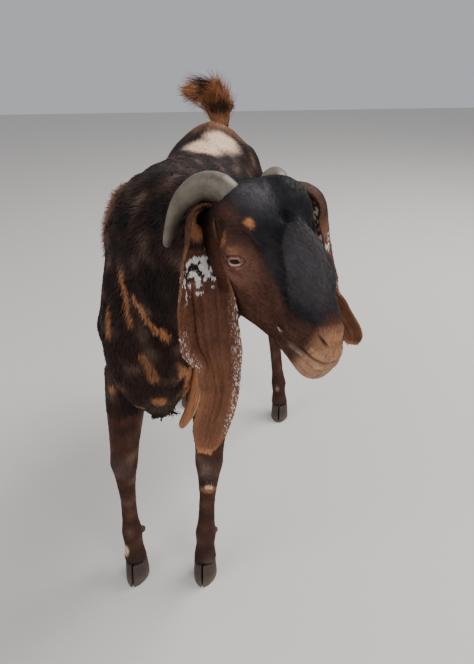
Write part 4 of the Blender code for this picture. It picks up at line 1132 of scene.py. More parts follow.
def sizes_at(places, region):
    """Length, width, spacing and lift of the coat at each place."""
    own = to_goat(places)
    sizes = np.zeros((len(places), 4))
    for name, values in COATS.items():
        here = np.char.find(region, name) >= 0
        sizes[here] = values
    low = on_legs(region)
    grow = 0.55 + 0.75 * soft((own[:, 2] - 0.05) / 0.40)
    sizes[low, 0] *= grow[low]
    head = to_head(places)
    face = region == 'head'
    back = soft((head[:, 1] + 0.09) / 0.12)
    small = soft((-0.160 - head[:, 1]) / 0.03)
    sizes[face, 0] *= ((1.0 + 1.1 * back) * (1 - 0.42 * small))[face]
    sizes[face, 1] *= (1.0 + 0.5 * back)[face]
    lips = small * bell(above_mouth(head), 0.004)
    sizes[face, 0] *= (1 - 0.5 * lips)[face]
    return sizes


def bald(places, region):
    """Where no hair grows: lids, nostrils, mouth line and the very underside of the chest."""
    head = to_head(places)
    free = np.zeros(len(places), bool)
    for side in (1, -1):
        centre, along, rise, look = eye_axes(side)
        local = head - centre
        near = (np.linalg.norm(local, axis=1) < 0.030) & (local @ look > 0)
        free |= near & (lid_ring(local @ along, local @ rise) < 2.05)
    both = mirrored(head)
    free |= np.linalg.norm((both - np.array(NOSTRIL)) / (0.0046, 0.016, 0.0048), axis=1) < 1
    free |= (np.abs(above_mouth(head)) < 0.0017) & (head[:, 1] < MOUTH_CORNER[0])
    own = to_goat(places)
    under = under_chest(own, region) & (own[:, 2] < BRISKET_LOW + 0.0015)
    return (free & (region == 'head')) | under


def part_names(root, region):
    """The name of the coat piece that each root belongs to."""
    own = to_goat(root)
    part = region.astype('U24')
    body = region == 'torso'
    part[body] = np.char.add(np.where(own[:, 0] > 0, 'left', 'right')[body],
                             np.where(own[:, 1] < 0.06, '_shoulder', '_flank')[body])
    return part


def coat_pieces(rows, widths, flat, shares, tone, patch, part):
    """Blades sorted into pieces by name."""
    made = []
    for name in sorted(set(part)):
        here = part == name
        made.append(blades('coat_' + str(name), rows[here], widths[here], flat[here],
                           shares[here], tone[here], patch[here]))
    return made


def short_coat(hide, tree):
    """The whole short coat in pieces by region, each a joined mesh of thin tufts."""
    rng = np.random.default_rng(SEED)
    thin = sparser()

    def spacing_of(places):
        return sizes_at(places, region_of(places))[:, 2] * thin

    root, normal = roots_on(hide, spacing_of, rng)
    region = region_of(root)
    keep = ~bald(root, region)
    root, normal, region = root[keep], normal[keep], region[keep]
    count = len(root)
    lie = lie_at(root, normal, region)
    side = np.cross(lie, normal)
    sway = rng.normal(0.0, 0.13, count)[:, None] + 0.28 * grain(root, 0.045, 1.5)[:, None]
    lie = unit(lie + side * sway)
    sizes = sizes_at(root, region)
    length = sizes[:, 0] * rng.uniform(0.70, 1.25, count)
    width = 0.5 * sizes[:, 1] * rng.uniform(0.75, 1.3, count)
    lift = sizes[:, 3] * rng.uniform(0.4, 1.25, count)
    tip = root + lie * length[:, None]
    on = np.empty_like(tip)
    out = np.empty_like(tip)
    for i, place in enumerate(tip):
        found = tree.find_nearest(place)
        on[i] = found[0]
        out[i] = found[1]
    tip = on + out * (0.6 * lift * rng.uniform(0.5, 1.5, count))[:, None]
    hanging = under_chest(to_goat(tip), region)
    tip[hanging, 2] = np.maximum(tip[hanging, 2], BRISKET_LOW - 0.003)
    gap = np.linalg.norm(on - root - lie * length[:, None], axis=1)
    middle = (root + tip) / 2 + normal * (0.45 * lift + 0.3 * gap)[:, None]
    base = root - normal * (0.25 * lift)[:, None]
    rows = np.stack([base, middle, tip], axis=1)
    widths = width[:, None] * SHORT_TAPER
    roll = rng.normal(0.0, 0.30, count)[:, None]
    flat = unit(np.cross(lie, normal) + normal * roll)
    shares = markings(root, region)
    tone = np.clip(0.5 + 0.20 * rng.normal(size=count) + 0.22 * grain(root, 0.012, 9.0), 0, 1)
    return coat_pieces(rows, widths, flat, shares, tone, unwrap(root, region),
                       part_names(root, region))


def long_hair(name, hide, place, radii, spacing, length, width, rise, drop, marks, rng):
    """Longer wavy hair over a soft ellipsoid of the goat's frame."""
    thin = sparser()

    def spacing_of(places):
        near = blob(to_goat(places), place, radii)
        return np.where(near > 0, spacing * thin / np.sqrt(np.clip(near * 1.6, 0.05, 1)), 1.0)

    root, normal = roots_on(hide, spacing_of, rng)
    near = blob(to_goat(root), place, radii)
    keep = near > 0.02
    root, normal, near = root[keep], normal[keep], near[keep]
    region = region_of(root)
    lie = lie_at(root, normal, region)
    count = len(root)
    side = unit(np.cross(lie, normal))
    long = length * (0.45 + 0.55 * np.sqrt(near)) * rng.uniform(0.6, 1.2, count)
    sway = rng.normal(0.0, 0.22, count) + 0.4 * grain(root, 0.018, 5.0)
    stand = rise * rng.uniform(0.4, 1.3, count)
    phase = rng.uniform(0, 2 * math.pi, count)
    rows = []
    for t in LONG_STEPS:
        wave = 0.05 * np.sin(phase + 7 * t) * t
        step = (lie * t + side * (sway * t * t + wave)[:, None]
                + normal * (stand * math.sin(1.9 * t))[:, None])
        step[:, 2] -= drop * t * t
        rows.append(root - normal * 0.0008 + step * long[:, None])
    rows = np.stack(rows, axis=1)
    widths = (0.5 * width * rng.uniform(0.7, 1.3, count))[:, None] * LONG_TAPER
    flat = unit(side + normal * rng.normal(0, 0.4, count)[:, None])
    shares = np.clip(markings(root, region) + np.array(marks) * near[:, None], 0, 1)
    tone = np.clip(0.55 + 0.22 * rng.normal(size=count), 0, 1)
    return blades(name, rows, widths, flat, shares, tone, unwrap(root, region))


def chest_lock(name, rng):
    """A smooth lock of orange hair that hangs along the fold of the chest."""
    line = curve_rows(CHEST_LOCK, CHEST_LOCK_STEPS)
    last = CHEST_LOCK_STEPS - 1
    count = CHEST_LOCK_HAIRS
    start = rng.uniform(0.0, 0.72, count)
    reach = rng.uniform(0.22, 0.32, count)
    turn = rng.uniform(0, 2 * math.pi, count)
    far = np.sqrt(rng.uniform(0.35, 1.0, count))
    across = CHEST_LOCK_WIDE * np.cos(turn)[:, None]
    deep = CHEST_LOCK_DEEP * CHEST_LOCK_FLATNESS * np.sin(turn)[:, None]
    rows = []
    for t in LONG_STEPS:
        at = line[np.clip(((start + reach * t) * last).astype(int), 0, last)]
        wide = (at[:, 3] * far * (1 + 0.10 * t))[:, None]
        rows.append(at[:, :3] + (across + deep) * wide)
    rows = np.stack(rows, axis=1) + np.array(GOAT_SHIFT)
    widths = (CHEST_LOCK_HAIR * rng.uniform(0.7, 1.3, count))[:, None] * LONG_TAPER
    flat = unit(CHEST_LOCK_WIDE * -np.sin(turn)[:, None] + CHEST_LOCK_DEEP * np.cos(turn)[:, None])
    shares = np.zeros((count, 7))
    shares[:, 0] = 0.5
    shares[:, 2] = np.clip(rng.normal(0.72, 0.12, count), 0, 1)
    # Painted highlight: pale hair along one side of the lock
    shares[:, 3] = 0.45 * soft((np.cos(turn) - 0.55) / 0.3)
    tone = np.clip(0.45 + 0.20 * rng.normal(size=count), 0, 1)
    return blades(name, rows, widths, flat, shares, tone,
                  unwrap(rows[:, 0], np.full(count, 'torso')))


def lashes(name, side):
    """Dark curved lashes along the lids of one eye, long above and short below."""
    rng = np.random.default_rng(SEED + side + 40)
    centre, along, rise, look = eye_axes(side)
    rows = []
    for count, over, long in LASHES:
        for k in range(count):
            turn = math.radians(22 + 136 * (k + rng.uniform(-0.3, 0.3)) / (count - 1))
            a = LID_LENGTH * 1.02 * math.cos(turn)
            b = (LID_UPPER if over > 0 else -LID_LOWER) * 1.12 * math.sin(turn)
            c = math.sqrt((EYE_RADIUS + LID_THICKNESS) ** 2 - a * a - b * b) - 0.0003
            start = centre + a * along + b * rise + c * look
            size = long * rng.uniform(0.7, 1.1)
            blade = []
            for t in (0.0, 0.35, 0.7, 1.0):
                blade.append(start + look * size * 0.8 * math.sin(1.4 * t)
                             + rise * over * size * (0.25 * t + 0.35 * t * t)
                             + along * size * 0.35 * t * math.cos(turn))
            rows.append(blade)
    rows = from_head(np.array(rows).reshape(-1, 3)).reshape(-1, 4, 3)
    count = len(rows)
    widths = np.tile(LASH_HALF * LASH_TAPER, (count, 1))
    flat = np.tile(along @ HEAD_TURNED.T, (count, 1))
    shares = np.zeros((count, 7))
    shares[:, 1] = 1
    patch = unwrap(rows[:, 0], np.full(count, 'head'))
    return blades(name, rows, widths, flat, shares, np.full(count, 0.3), patch)


# Ears

def mound(value, form):
    """A rounded ridge of a given height, place and reach."""
    height, middle, reach = form
    return height * math.exp(-((value - middle) / reach) ** 2)


def ear_surface(line, face, flap, columns, rows):
    """Points of an ear's leaf, row by row, with how far along and across each one is."""
    read = curve_rows(line, rows)
    places = []
    spans = []
    for i, (x, y, z, half, curl) in enumerate(read):
        along = Vector(read[min(i + 1, rows - 1)][:3] - read[max(i - 1, 0)][:3]).normalized()
        front = (face - along * face.dot(along)).normalized()
        across = along.cross(front)
        turn = math.radians(max(curl, 10))
        radius = 2 * half / turn
        share = i / (rows - 1)
        body = min(1.0, 4 * share) * min(1.0, 5 * (1 - share))
        notch = 1.0 - mound(share, EAR_NOTCH)
        folded = (min(1.0, max(0.0, (share - EAR_FOLD_START) / 0.10))
                  * min(1.0, max(0.0, (EAR_FOLD_END - share) / 0.05)))
        for k in range(columns):
            spread = k / (columns - 1) - 0.5
            own = spread * flap
            angle = spread * turn * (notch if own > 0 else 1.0)
            hollow = radius * (math.cos(turn / 4) - math.cos(angle))
            ridges = mound(own + 0.08 * share, EAR_RIDGE) + mound(own, EAR_SECOND_RIDGE)
            lifted = max(0.0, own - 0.25) / 0.25
            flare = math.sin(11 * share + 2.0 + 3 * (own > 0)) * (2 * spread) ** 2
            ripple = math.sin(60 * spread) * (1 - abs(2 * spread))
            wave = ((ridges + EAR_FLARE * flare + EAR_RIPPLE * ripple) * body
                    + (EAR_EDGE_LIFT * lifted - mound(own, EAR_VALLEY)) * folded)
            hem = 1.0 + EAR_HEM * math.sin(37 * share + 5 * spread) * abs(2 * spread) ** 6
            places.append(Vector((x, y, z)) + GOAT_SHIFT
                          + across * (radius * math.sin(angle) * hem)
                          + front * (hollow + wave))
            spans.append((share, own))
    return np.array([tuple(p) for p in places]), np.array(spans)


def make_ear(name, line, face, flap):
    """One long hanging ear as a thick leaf with a rounded rim."""
    bpy.ops.mesh.primitive_grid_add(x_subdivisions=EAR_COLUMNS - 1,
                                    y_subdivisions=EAR_ROWS - 1, size=1.0)
    ear = bpy.context.active_object
    ear.name = name
    places, spans = ear_surface(line, face, flap, EAR_COLUMNS, EAR_ROWS)
    move_points(ear, places)
    for label, values in (('along', spans[:, 0]), ('across', spans[:, 1])):
        layer = ear.data.attributes.new(label, 'FLOAT', 'POINT')
        layer.data.foreach_set('value', values.astype(np.float32))
    modify(ear, 'SOLIDIFY', thickness=EAR_THICKNESS, offset=0.0, use_even_offset=False)
    modify(ear, 'BEVEL', width=0.0007, segments=2, limit_method='ANGLE',
           angle_limit=math.radians(50))
    point_outward(ear)
    ear.data.shade_smooth()
    return ear


def point_outward(obj):
    """Turn all faces of a closed piece outward."""
    shape = opened(obj)
    bmesh.ops.recalc_face_normals(shape, faces=shape.faces)
    closed(shape, obj.data)


def ear_marks(along, across, places):
    """Brown ear, black at its root, with white flecks and an orange tip."""
    fine = grain(places, 0.0017, 4.0)
    coarse = grain(places, 0.0058, 6.0)
    broad = grain(places, 0.020, 8.0)
    rim = soft((np.abs(across) - 0.28) / 0.17)
    root = soft((0.285 - along) / 0.05)
    black = np.clip(0.92 * root, 0, 1)
    brown = np.clip(0.92 + 0.22 * broad, 0, 1)
    lining = blob(np.stack([along, across], axis=1), (0.16, 0.10), (0.09, 0.22))
    low = soft((along - 0.50) / 0.30)
    tan = np.clip(0.20 * rim + 0.70 * soft((along - 0.955) / 0.03) + 0.16 * low + 0.12 * broad,
                  0, 1)
    tan = np.maximum(tan, 0.60 * soft(1.8 * lining))
    black *= 1 - 0.8 * soft(1.8 * lining)
    edge = rim * soft((along - 0.42) / 0.06) * soft((0.90 - along) / 0.08)
    free = np.where(across > 0, soft((along - 0.53) / 0.03) * soft((0.68 - along) / 0.03), 1.0)
    dots = soft((fine - 0.19) / 0.12) * edge * free
    slant = along - 0.10 * across
    cluster = blob(np.stack([slant, across], axis=1), (0.345, 0.02), (0.125, 0.66))
    spots = soft((coarse + 0.42 * cluster - 0.30) / 0.08) * soft(3 * cluster)
    white = np.clip(0.75 * dots + 0.95 * spots, 0, 1)
    black = np.maximum(black, 0.85 * soft(2.5 * cluster - 0.4) * (along < 0.40))
    zero = np.zeros(len(along))
    return np.clip(np.stack([brown, black, tan, zero, zero, zero, white], axis=1), 0, 1)


def ear_coat(ear, name, line):
    """Short hair over both faces of an ear."""
    rng = np.random.default_rng(SEED + 5)
    spacing = EAR_HAIR_SPACING * sparser()
    root, normal = roots_on(ear, lambda places: np.full(len(places), spacing), rng)
    shape = opened(ear)
    tree = BVHTree.FromBMesh(shape)
    shape.faces.ensure_lookup_table()
    along_layer = shape.verts.layers.float['along']
    across_layer = shape.verts.layers.float['across']
    spans = np.empty((len(root), 2))
    for i, place in enumerate(root):
        corner = shape.faces[tree.find_nearest(place)[2]].verts[0]
        spans[i] = (corner[along_layer], corner[across_layer])
    shape.free()
    guide = curve_rows(line, 60)[:, :3]
    step = unit(np.gradient(guide, axis=0))
    lie = step[np.clip((spans[:, 0] * 59).astype(int), 0, 59)]
    count = len(root)
    side = unit(np.cross(lie, normal))
    lie = lie + side * rng.normal(0, 0.16, count)[:, None]
    lie = unit(lie - normal * (lie * normal).sum(axis=1, keepdims=True))
    length = EAR_HAIR_LENGTH * rng.uniform(0.7, 1.3, count)
    lift = EAR_HAIR_LIFT * rng.uniform(0.5, 1.6, count)
    rows = np.stack([root - normal * 0.0002,
                     root + lie * (length / 2)[:, None] + normal * (0.7 * lift)[:, None],
                     root + lie * length[:, None] + normal * lift[:, None]], axis=1)
    widths = (EAR_HAIR_HALF * rng.uniform(0.7, 1.3, count))[:, None] * SHORT_TAPER
    flat = unit(np.cross(lie, normal) + normal * rng.normal(0, 0.25, count)[:, None])
    shares = ear_marks(spans[:, 0], spans[:, 1], root)
    tone = np.clip(0.5 + 0.18 * rng.normal(size=count), 0, 1)
    face_side = (normal @ np.array((0.0, -1.0, 0.0)) > 0)
    patch = np.stack([0.01 + 0.44 * (spans[:, 1] + 0.5) + 0.49 * face_side,
                      0.01 + 0.98 * spans[:, 0]], axis=1)
    return blades(name, rows, widths, flat, shares, tone, patch)


# Horns

def make_horn(name, side):
    """One heavy curled horn with growth rings and a blunt tip."""
    rows = curve_rows(HORN, HORN_STEPS)
    bpy.ops.mesh.primitive_grid_add(x_subdivisions=HORN_SIDES, y_subdivisions=HORN_STEPS - 1,
                                    size=1.0)
    horn = bpy.context.active_object
    horn.name = name
    hint = Vector((0.55, 0.0, 0.83))
    places = []
    for i, (x, y, z, half) in enumerate(rows):
        share = i / (HORN_STEPS - 1)
        along = Vector(rows[min(i + 1, HORN_STEPS - 1)][:3]
                       - rows[max(i - 1, 0)][:3]).normalized()
        wide = (hint - along * hint.dot(along)).normalized()
        deep = along.cross(wide)
        end = max(share - HORN_BLUNT, 0) / (1 - HORN_BLUNT)
        close = math.sqrt(max(1 - end ** 2, 0.0009))
        for k in range(HORN_SIDES + 1):
            turn = 2 * math.pi * k / HORN_SIDES
            waver = 0.5 * math.sin(2 * turn + 1.0) + 0.3 * math.sin(3 * turn + 6 * share)
            ring = max(math.sin(HORN_RINGS * 2 * math.pi * share ** 0.8 + waver), -0.2)
            swell = (1.0 + HORN_RING_RISE * ring * (1 - 0.7 * share)
                     + HORN_GRAIN_RISE * math.sin(9 * turn + 7 * share)
                     + HORN_SWAY_RISE * math.sin(2 * turn + 9 * share))
            size = half * swell * close * HORN_FIT
            places.append(Vector((x, y, z)) + wide * (size * math.cos(turn))
                          + deep * (size * HORN_FLATNESS * math.sin(turn)))
    local = np.array([tuple(p) for p in places]) * np.array((side, 1, 1))
    move_points(horn, from_head(local))
    shape = opened(horn)
    bmesh.ops.remove_doubles(shape, verts=shape.verts, dist=2 * WELD)
    rims = [edge for edge in shape.edges if edge.is_boundary]
    bmesh.ops.holes_fill(shape, edges=rims)
    bmesh.ops.recalc_face_normals(shape, faces=shape.faces)
    closed(shape, horn.data)
    horn.data.shade_smooth()
    return horn


# Eyes

def make_eye(name, side):
    """An eyeball with a bulging cornea, its poles along the look."""
    bpy.ops.mesh.primitive_uv_sphere_add(segments=64, ring_count=48, radius=EYE_RADIUS)
    eye = bpy.context.active_object
    eye.name = name
    centre, along, rise, look = eye_axes(side)
    places = points_of(eye)
    bulge = soft((places[:, 2] / EYE_RADIUS - CORNEA_START) / (1 - CORNEA_START))
    places[:, 2] += CORNEA_RISE * bulge
    local = places[:, :1] * along + places[:, 1:2] * rise + places[:, 2:] * look
    behind = local @ look < 0
    for axis, label in ((along, 'iris_x'), (rise, 'iris_y')):
        layer = eye.data.attributes.new(label, 'FLOAT', 'POINT')
        value = local @ axis / EYE_RADIUS + 2 * behind
        layer.data.foreach_set('value', value.astype(np.float32))
    move_points(eye, from_head(local + centre))
    point_outward(eye)
    eye.data.shade_smooth()
    return eye


# Hooves: rise and spacing of the growth rings, and how much of the foot is pressed flat

HOOF_RING_RISE = 0.00022
HOOF_RING_GAP = 0.0046
HOOF_SOLE = 0.0012


def smooth_copy(node, name, grid, passes):
    """A finer, rounder copy of a small solid, still flat where it meets the ground."""
    shape = opened(node)
    bmesh.ops.remove_doubles(shape, verts=shape.verts, dist=WELD)
    mesh = bpy.data.meshes.new(name)
    closed(shape, mesh)
    made = placed(name, mesh)
    modify(made, 'REMESH', mode='VOXEL', voxel_size=grid)
    floor = points_of(made)[:, 2].min()
    modify(made, 'SMOOTH', factor=0.5, iterations=passes)
    places = points_of(made)
    out = normals_of(made)
    upright = 1 - np.abs(out[:, 2])
    wave = places[:, 2] / HOOF_RING_GAP * 2 * math.pi + 20 * places[:, 1]
    places += out * (HOOF_RING_RISE * np.sin(wave) * upright)[:, None]
    places[:, 2] = np.where(places[:, 2] < floor + HOOF_SOLE, floor, places[:, 2])
    move_points(made, places)
    made.data.shade_smooth()
    return made


# Materials

def node_tree(name):
    """A new material with its node tree and its shader."""
    made = bpy.data.materials.new(name)
    made.use_nodes = True
    tree = made.node_tree
    return made, tree, tree.nodes['Principled BSDF']


def add(tree, kind, **settings):
    """A node with its settings; numbers and colours go to the sockets of that name."""
    made = tree.nodes.new(kind)
    for key, value in settings.items():
        if key in made.bl_rna.properties:
            setattr(made, key, value)
        else:
            made.inputs[key.replace('_', ' ')].default_value = value
    return made


def feed(tree, socket, value):
    """Join a link to a socket, or set its number or colour."""
    if isinstance(value, bpy.types.NodeSocket):
        tree.links.new(value, socket)
    else:
        socket.default_value = value


def mix(tree, factor, first, second, blend='MIX'):
    """A colour mix of links or colours."""
    made = tree.nodes.new('ShaderNodeMix')
    made.data_type = 'RGBA'
    made.blend_type = blend
    feed(tree, made.inputs[0], factor)
    feed(tree, made.inputs[6], first)
    feed(tree, made.inputs[7], second)
    return made.outputs[2]


def reckon(tree, operation, first, second=0.0):
    """One step of arithmetic on links or numbers."""
    made = tree.nodes.new('ShaderNodeMath')
    made.operation = operation
    feed(tree, made.inputs[0], first)
    feed(tree, made.inputs[1], second)
    return made.outputs[0]


def ranged(tree, value, low, high, first=0.0, second=1.0):
    """A value spread from one range to another."""
    made = tree.nodes.new('ShaderNodeMapRange')
    tree.links.new(value, made.inputs['Value'])
    for key, number in (('From Min', low), ('From Max', high), ('To Min', first),
                        ('To Max', second)):
        made.inputs[key].default_value = number
    return made.outputs['Result']


def noise_at(tree, scale, detail=3.0):
    """Noise over the object's own space."""
    place = tree.nodes.new('ShaderNodeTexCoord')
    made = add(tree, 'ShaderNodeTexNoise', Scale=scale, Detail=detail, Roughness=0.6)
    tree.links.new(place.outputs['Object'], made.inputs['Vector'])
    return made.outputs['Fac']


def relief(tree, shader, height, strength, distance):
    """Bump on a shader."""
    made = add(tree, 'ShaderNodeBump', Strength=strength, Distance=distance)
    tree.links.new(height, made.inputs['Height'])
    tree.links.new(made.outputs['Normal'], shader.inputs['Normal'])


HAIR_COLOURS = (('Dark', DARK), ('Brown', BROWN), ('Black', BLACK), ('Painted_sheen', PAINTED_SHEEN),
                ('Tan', TAN), ('Pale', PALE), ('Bare', BARE), ('White', WHITE))


def coat_group():
    """The goat's hair colours from its stored markings, with mottling and strand tone."""
    group = bpy.data.node_groups.new('goat_coat_colour', 'ShaderNodeTree')
    for name, colour in HAIR_COLOURS:
        group.interface.new_socket(name, in_out='INPUT', socket_type='NodeSocketColor')
    group.interface.new_socket('Contrast', in_out='INPUT', socket_type='NodeSocketFloat')
    group.interface.new_socket('Color', in_out='OUTPUT', socket_type='NodeSocketColor')
    group.interface.new_socket('Roughness', in_out='OUTPUT', socket_type='NodeSocketFloat')
    given = group.nodes.new('NodeGroupInput')
    result = group.nodes.new('NodeGroupOutput')
    marks = add(group, 'ShaderNodeAttribute', attribute_name='hair_marks')
    sheen = add(group, 'ShaderNodeAttribute', attribute_name='hair_sheen')
    share = group.nodes.new('ShaderNodeSeparateColor')
    rest = group.nodes.new('ShaderNodeSeparateColor')
    group.links.new(marks.outputs['Color'], share.inputs[0])
    group.links.new(sheen.outputs['Color'], rest.inputs[0])
    spread = reckon(group, 'ADD', 1.0,
                    ranged(group, noise_at(group, 60.0, 4.0), 0.35, 0.65, -0.12, 0.12))
    colour = mix(group, reckon(group, 'MULTIPLY', share.outputs[0], spread),
                 given.outputs['Dark'], given.outputs['Brown'])
    tan = reckon(group, 'MULTIPLY', share.outputs[2], spread)
    # The painted sheen grey is mixed in here over the other colours
    for name, factor in (('Black', share.outputs[1]), ('Painted_sheen', rest.outputs[0]), ('Tan', tan),
                         ('Pale', marks.outputs['Alpha']), ('Bare', rest.outputs[1]),
                         ('White', sheen.outputs['Alpha'])):
        colour = mix(group, factor, colour, given.outputs[name])
    light = ranged(group, rest.outputs[2], 0.0, 1.0, -0.36, 0.48)
    tone = reckon(group, 'ADD', 1.0,
                  reckon(group, 'MULTIPLY', light, given.outputs['Contrast']))
    bright = group.nodes.new('ShaderNodeCombineColor')
    for socket in bright.inputs:
        group.links.new(tone, socket)
    colour = mix(group, 1.0, colour, bright.outputs[0], 'MULTIPLY')
    group.links.new(colour, result.inputs['Color'])
    rough = ranged(group, rest.outputs[2], 0.0, 1.0, 0.64, 0.48)
    group.links.new(rough, result.inputs['Roughness'])
    return group


def hair_material(name, group, contrast, specular, bump):
    """Hair or hide that shows the markings."""
    made, tree, shader = node_tree(name)
    coat = tree.nodes.new('ShaderNodeGroup')
    coat.node_tree = group
    for socket, colour in HAIR_COLOURS:
        coat.inputs[socket].default_value = colour
    coat.inputs['Contrast'].default_value = contrast
    tree.links.new(coat.outputs['Color'], shader.inputs['Base Color'])
    tree.links.new(coat.outputs['Roughness'], shader.inputs['Roughness'])
    shader.inputs['Specular IOR Level'].default_value = specular
    if bump:
        relief(tree, shader, noise_at(tree, 700.0), bump, 0.0008)
    return made


def horn_material():
    """Grey-brown horn, cloudy and finely fibred."""
    made, tree, shader = node_tree('horn_finish')
    cloud = noise_at(tree, 38.0, 5.0)
    fibre = noise_at(tree, 320.0)
    colour = mix(tree, ranged(tree, cloud, 0.35, 0.65), srgb(72, 65, 54), srgb(112, 104, 88))
    colour = mix(tree, ranged(tree, fibre, 0.42, 0.62, 0.0, 0.6), colour, srgb(106, 92, 76))
    tree.links.new(colour, shader.inputs['Base Color'])
    tree.links.new(ranged(tree, cloud, 0.3, 0.7, 0.40, 0.56), shader.inputs['Roughness'])
    relief(tree, shader, fibre, 0.35, 0.0006)
    return made


def hoof_material():
    """Dark hoof with fine fibres down the wall and dust near the ground."""
    made, tree, shader = node_tree('hoof_finish')
    place = tree.nodes.new('ShaderNodeTexCoord')
    stretch = add(tree, 'ShaderNodeMapping')
    stretch.inputs['Scale'].default_value = (900.0, 900.0, 60.0)
    tree.links.new(place.outputs['Object'], stretch.inputs['Vector'])
    fibre = add(tree, 'ShaderNodeTexNoise', Scale=1.0, Detail=3.0, Roughness=0.6)
    tree.links.new(stretch.outputs['Vector'], fibre.inputs['Vector'])
    height = tree.nodes.new('ShaderNodeSeparateXYZ')
    tree.links.new(place.outputs['Object'], height.inputs[0])
    dust = ranged(tree, height.outputs['Z'], 0.024, 0.0, 0.05, 0.75)
    dust = reckon(tree, 'MULTIPLY', dust, ranged(tree, noise_at(tree, 90.0), 0.3, 0.6, 0.5, 1.0))
    colour = mix(tree, ranged(tree, fibre.outputs['Fac'], 0.35, 0.65),
                 srgb(42, 33, 31), srgb(78, 62, 55))
    colour = mix(tree, dust, colour, srgb(112, 98, 84))
    tree.links.new(colour, shader.inputs['Base Color'])
    shader.inputs['Roughness'].default_value = 0.68
    shader.inputs['Specular IOR Level'].default_value = 0.3
    relief(tree, shader, fibre.outputs['Fac'], 0.5, 0.0006)
    return made


def eye_material():
    """A dark amber iris with a level oblong pupil, under a wet surface."""
    made, tree, shader = node_tree('eye_finish')
    level = add(tree, 'ShaderNodeAttribute', attribute_name='iris_x').outputs['Fac']
    upright = add(tree, 'ShaderNodeAttribute', attribute_name='iris_y').outputs['Fac']
    reach = reckon(tree, 'SQRT', reckon(tree, 'ADD', reckon(tree, 'MULTIPLY', level, level),
                                        reckon(tree, 'MULTIPLY', upright, upright)))
    wide = reckon(tree, 'ABSOLUTE', reckon(tree, 'DIVIDE', level, 0.44))
    tall = reckon(tree, 'ABSOLUTE', reckon(tree, 'DIVIDE', upright, 0.19))
    square = reckon(tree, 'ADD', reckon(tree, 'POWER', wide, 3.0),
                    reckon(tree, 'POWER', tall, 3.0))
    pupil = ranged(tree, square, 0.8, 1.15, 1.0, 0.0)
    rays = noise_at(tree, 900.0, 4.0)
    iris = mix(tree, ranged(tree, rays, 0.35, 0.65), srgb(22, 12, 8), srgb(50, 29, 15))
    white = mix(tree, ranged(tree, reach, 0.62, 0.72), iris, srgb(18, 11, 10))
    colour = mix(tree, pupil, white, (0.003, 0.003, 0.004, 1.0))
    tree.links.new(colour, shader.inputs['Base Color'])
    shader.inputs['Roughness'].default_value = 0.10
    shader.inputs['Specular IOR Level'].default_value = 0.22
    return made


def floor_material():
    """Plain pale floor."""
    made, _, shader = node_tree('floor_finish')
    shader.inputs['Base Color'].default_value = srgb(214, 210, 204)
    shader.inputs['Roughness'].default_value = 0.8
    return made


def dress(obj, material, slot, *replaced):
    """Finish a piece: its material, its body and what it stands for; the slot is not used."""
    obj.data.materials.clear()
    obj.data.materials.append(material)
    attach(obj, 'root')
    if replaced:
        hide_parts(*replaced)


# Stage

FLOOR_SIZE = 14.0

# Soft lights: place, size, power and colour; all face the middle of the goat
LIGHTS = (
    ('key', (1.5, 1.4, 3.0), 1.8, 105.0, (1.0, 0.98, 0.95)),
    ('fill', (-2.4, -2.2, 2.4), 2.6, 52.0, (0.95, 0.97, 1.0)),
    ('front', (2.2, -2.4, 1.8), 1.8, 48.0, (1.0, 1.0, 1.0)),
)
LIGHT_AIM = Vector((0.0, 0.0, 0.5))


def set_stage():
    """Pale floor, soft studio lights and the camera of the photo."""
    bpy.ops.mesh.primitive_plane_add(size=FLOOR_SIZE, location=(0.0, 0.0, 0.0))
    floor = bpy.context.active_object
    floor.name = 'floor'
    floor.data.materials.append(floor_material())
    for name, place, size, power, colour in LIGHTS:
        light = bpy.data.lights.new(name, 'AREA')
        light.size = size
        light.energy = power
        light.color = colour
        lamp = placed(name, light)
        lamp.location = place
        aim = LIGHT_AIM - Vector(place)
        lamp.rotation_euler = aim.to_track_quat('-Z', 'Y').to_euler()
    world = bpy.data.worlds.new('studio')
    world.use_nodes = True
    world.node_tree.nodes['Background'].inputs[0].default_value = (0.92, 0.94, 1.0, 1.0)
    world.node_tree.nodes['Background'].inputs[1].default_value = 0.50
    bpy.context.scene.world = world

    look = Vector((math.sin(CAMERA_YAW) * math.cos(CAMERA_DOWN),
                   math.cos(CAMERA_YAW) * math.cos(CAMERA_DOWN), -math.sin(CAMERA_DOWN)))
    right = Vector((math.cos(CAMERA_YAW), -math.sin(CAMERA_YAW), 0.0))
    up = right.cross(look)
    across = math.cos(CAMERA_ROLL) * right + math.sin(CAMERA_ROLL) * up
    upright = math.cos(CAMERA_ROLL) * up - math.sin(CAMERA_ROLL) * right
    data = bpy.data.cameras.new('camera')
    data.sensor_width = SENSOR_WIDTH
    data.lens = FOCAL_PIXELS / PHOTO_HEIGHT * SENSOR_WIDTH
    camera = placed('camera', data)
    camera.matrix_world = (Matrix.Translation(CAMERA_PLACE + GOAT_SHIFT)
                           @ Matrix((across, upright, -look)).transposed().to_4x4())
    bpy.context.scene.camera = camera


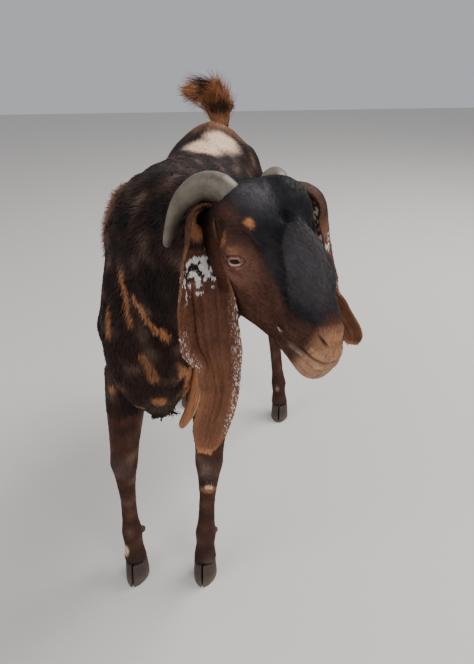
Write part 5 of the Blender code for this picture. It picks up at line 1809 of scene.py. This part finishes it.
def build():
    """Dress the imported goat."""
    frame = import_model()
    bpy.ops.object.select_all(action='DESELECT')
    nodes = frame['nodes']
    set_stage()

    group = coat_group()
    hair = hair_material('coat_finish', group, 0.85, 0.13, 0.0)
    skin = hair_material('hide_finish', group, 0.3, 0.15, 0.5)

    hide = make_hide(nodes)
    places = points_of(hide)
    paint(hide.data, markings(places, region_of(places)), np.full(len(places), 0.38))
    dress(hide, skin, 'coat_dark', *FLESH)
    tree = tree_of(hide)
    for piece in short_coat(hide, tree):
        slot = {'coat_head': 'coat_head', 'coat_tail': 'coat_tail'}.get(piece.name, 'coat_dark')
        dress(piece, hair, slot)
    rng = np.random.default_rng(SEED + 1)
    ruddy = (0.25, 0.0, 0.16, 0.0, 0.0, 0.0, 0.0)
    plain = (0.0,) * 7
    for name, marks, slot, *form in (
            ('coat_shag', ruddy, 'coat_dark', (-0.085, -0.200, 0.755), (0.070, 0.110, 0.095),
             0.0023, 0.026, 0.0008, 0.38, 0.05),
            ('coat_crest', plain, 'coat_dark', (0.062, -0.270, 0.770), (0.085, 0.110, 0.060),
             0.0030, 0.030, 0.0010, 0.26, 0.10),
            ('coat_tail_brush', plain, 'coat_tail', (-0.020, 0.400, 0.840),
             (0.090, 0.070, 0.080), 0.0024, 0.042, 0.0011, 0.55, 0.05)):
        dress(long_hair(name, hide, *form, marks, rng), hair, slot)
    dress(chest_lock('coat_chest_fold', rng), hair, 'coat_dark')
    for name, side in (('lashes_left', 1), ('lashes_right', -1)):
        dress(lashes(name, side), hair, 'coat_head')

    for name, line, face, flap in (('ear_right', EAR_RIGHT, EAR_RIGHT_FACE, 1),
                                   ('ear_left', EAR_LEFT, EAR_LEFT_FACE, -1)):
        ear = make_ear(name + '_leaf', line, face, flap)
        marks = ear_marks(numbers_of(ear, 'along'), numbers_of(ear, 'across'), points_of(ear))
        paint(ear.data, marks, np.full(len(marks), 0.42))
        dress(ear, skin, 'ear_skin', name)
        dress(ear_coat(ear, 'coat_' + name, line), hair, 'ear_skin')

    keratin = horn_material()
    for name, side in (('horn_left', 1), ('horn_right', -1)):
        dress(make_horn(name + '_curl', side), keratin, 'horn', name)

    wet = eye_material()
    for name, side in (('eye_left', 1), ('eye_right', -1)):
        dress(make_eye(name + '_ball', side), wet, 'eye', name)

    hoof = hoof_material()
    for name in sorted(nodes):
        if name.startswith('hoof_'):
            dress(smooth_copy(nodes[name], name + '_claw', 0.0016, 4), hoof, 'hoof', name)
        if name.startswith('dewclaw_'):
            dress(smooth_copy(nodes[name], name + '_horn', 0.0010, 3), hoof, 'hoof', name)

    bpy.context.view_layer.update()


build()
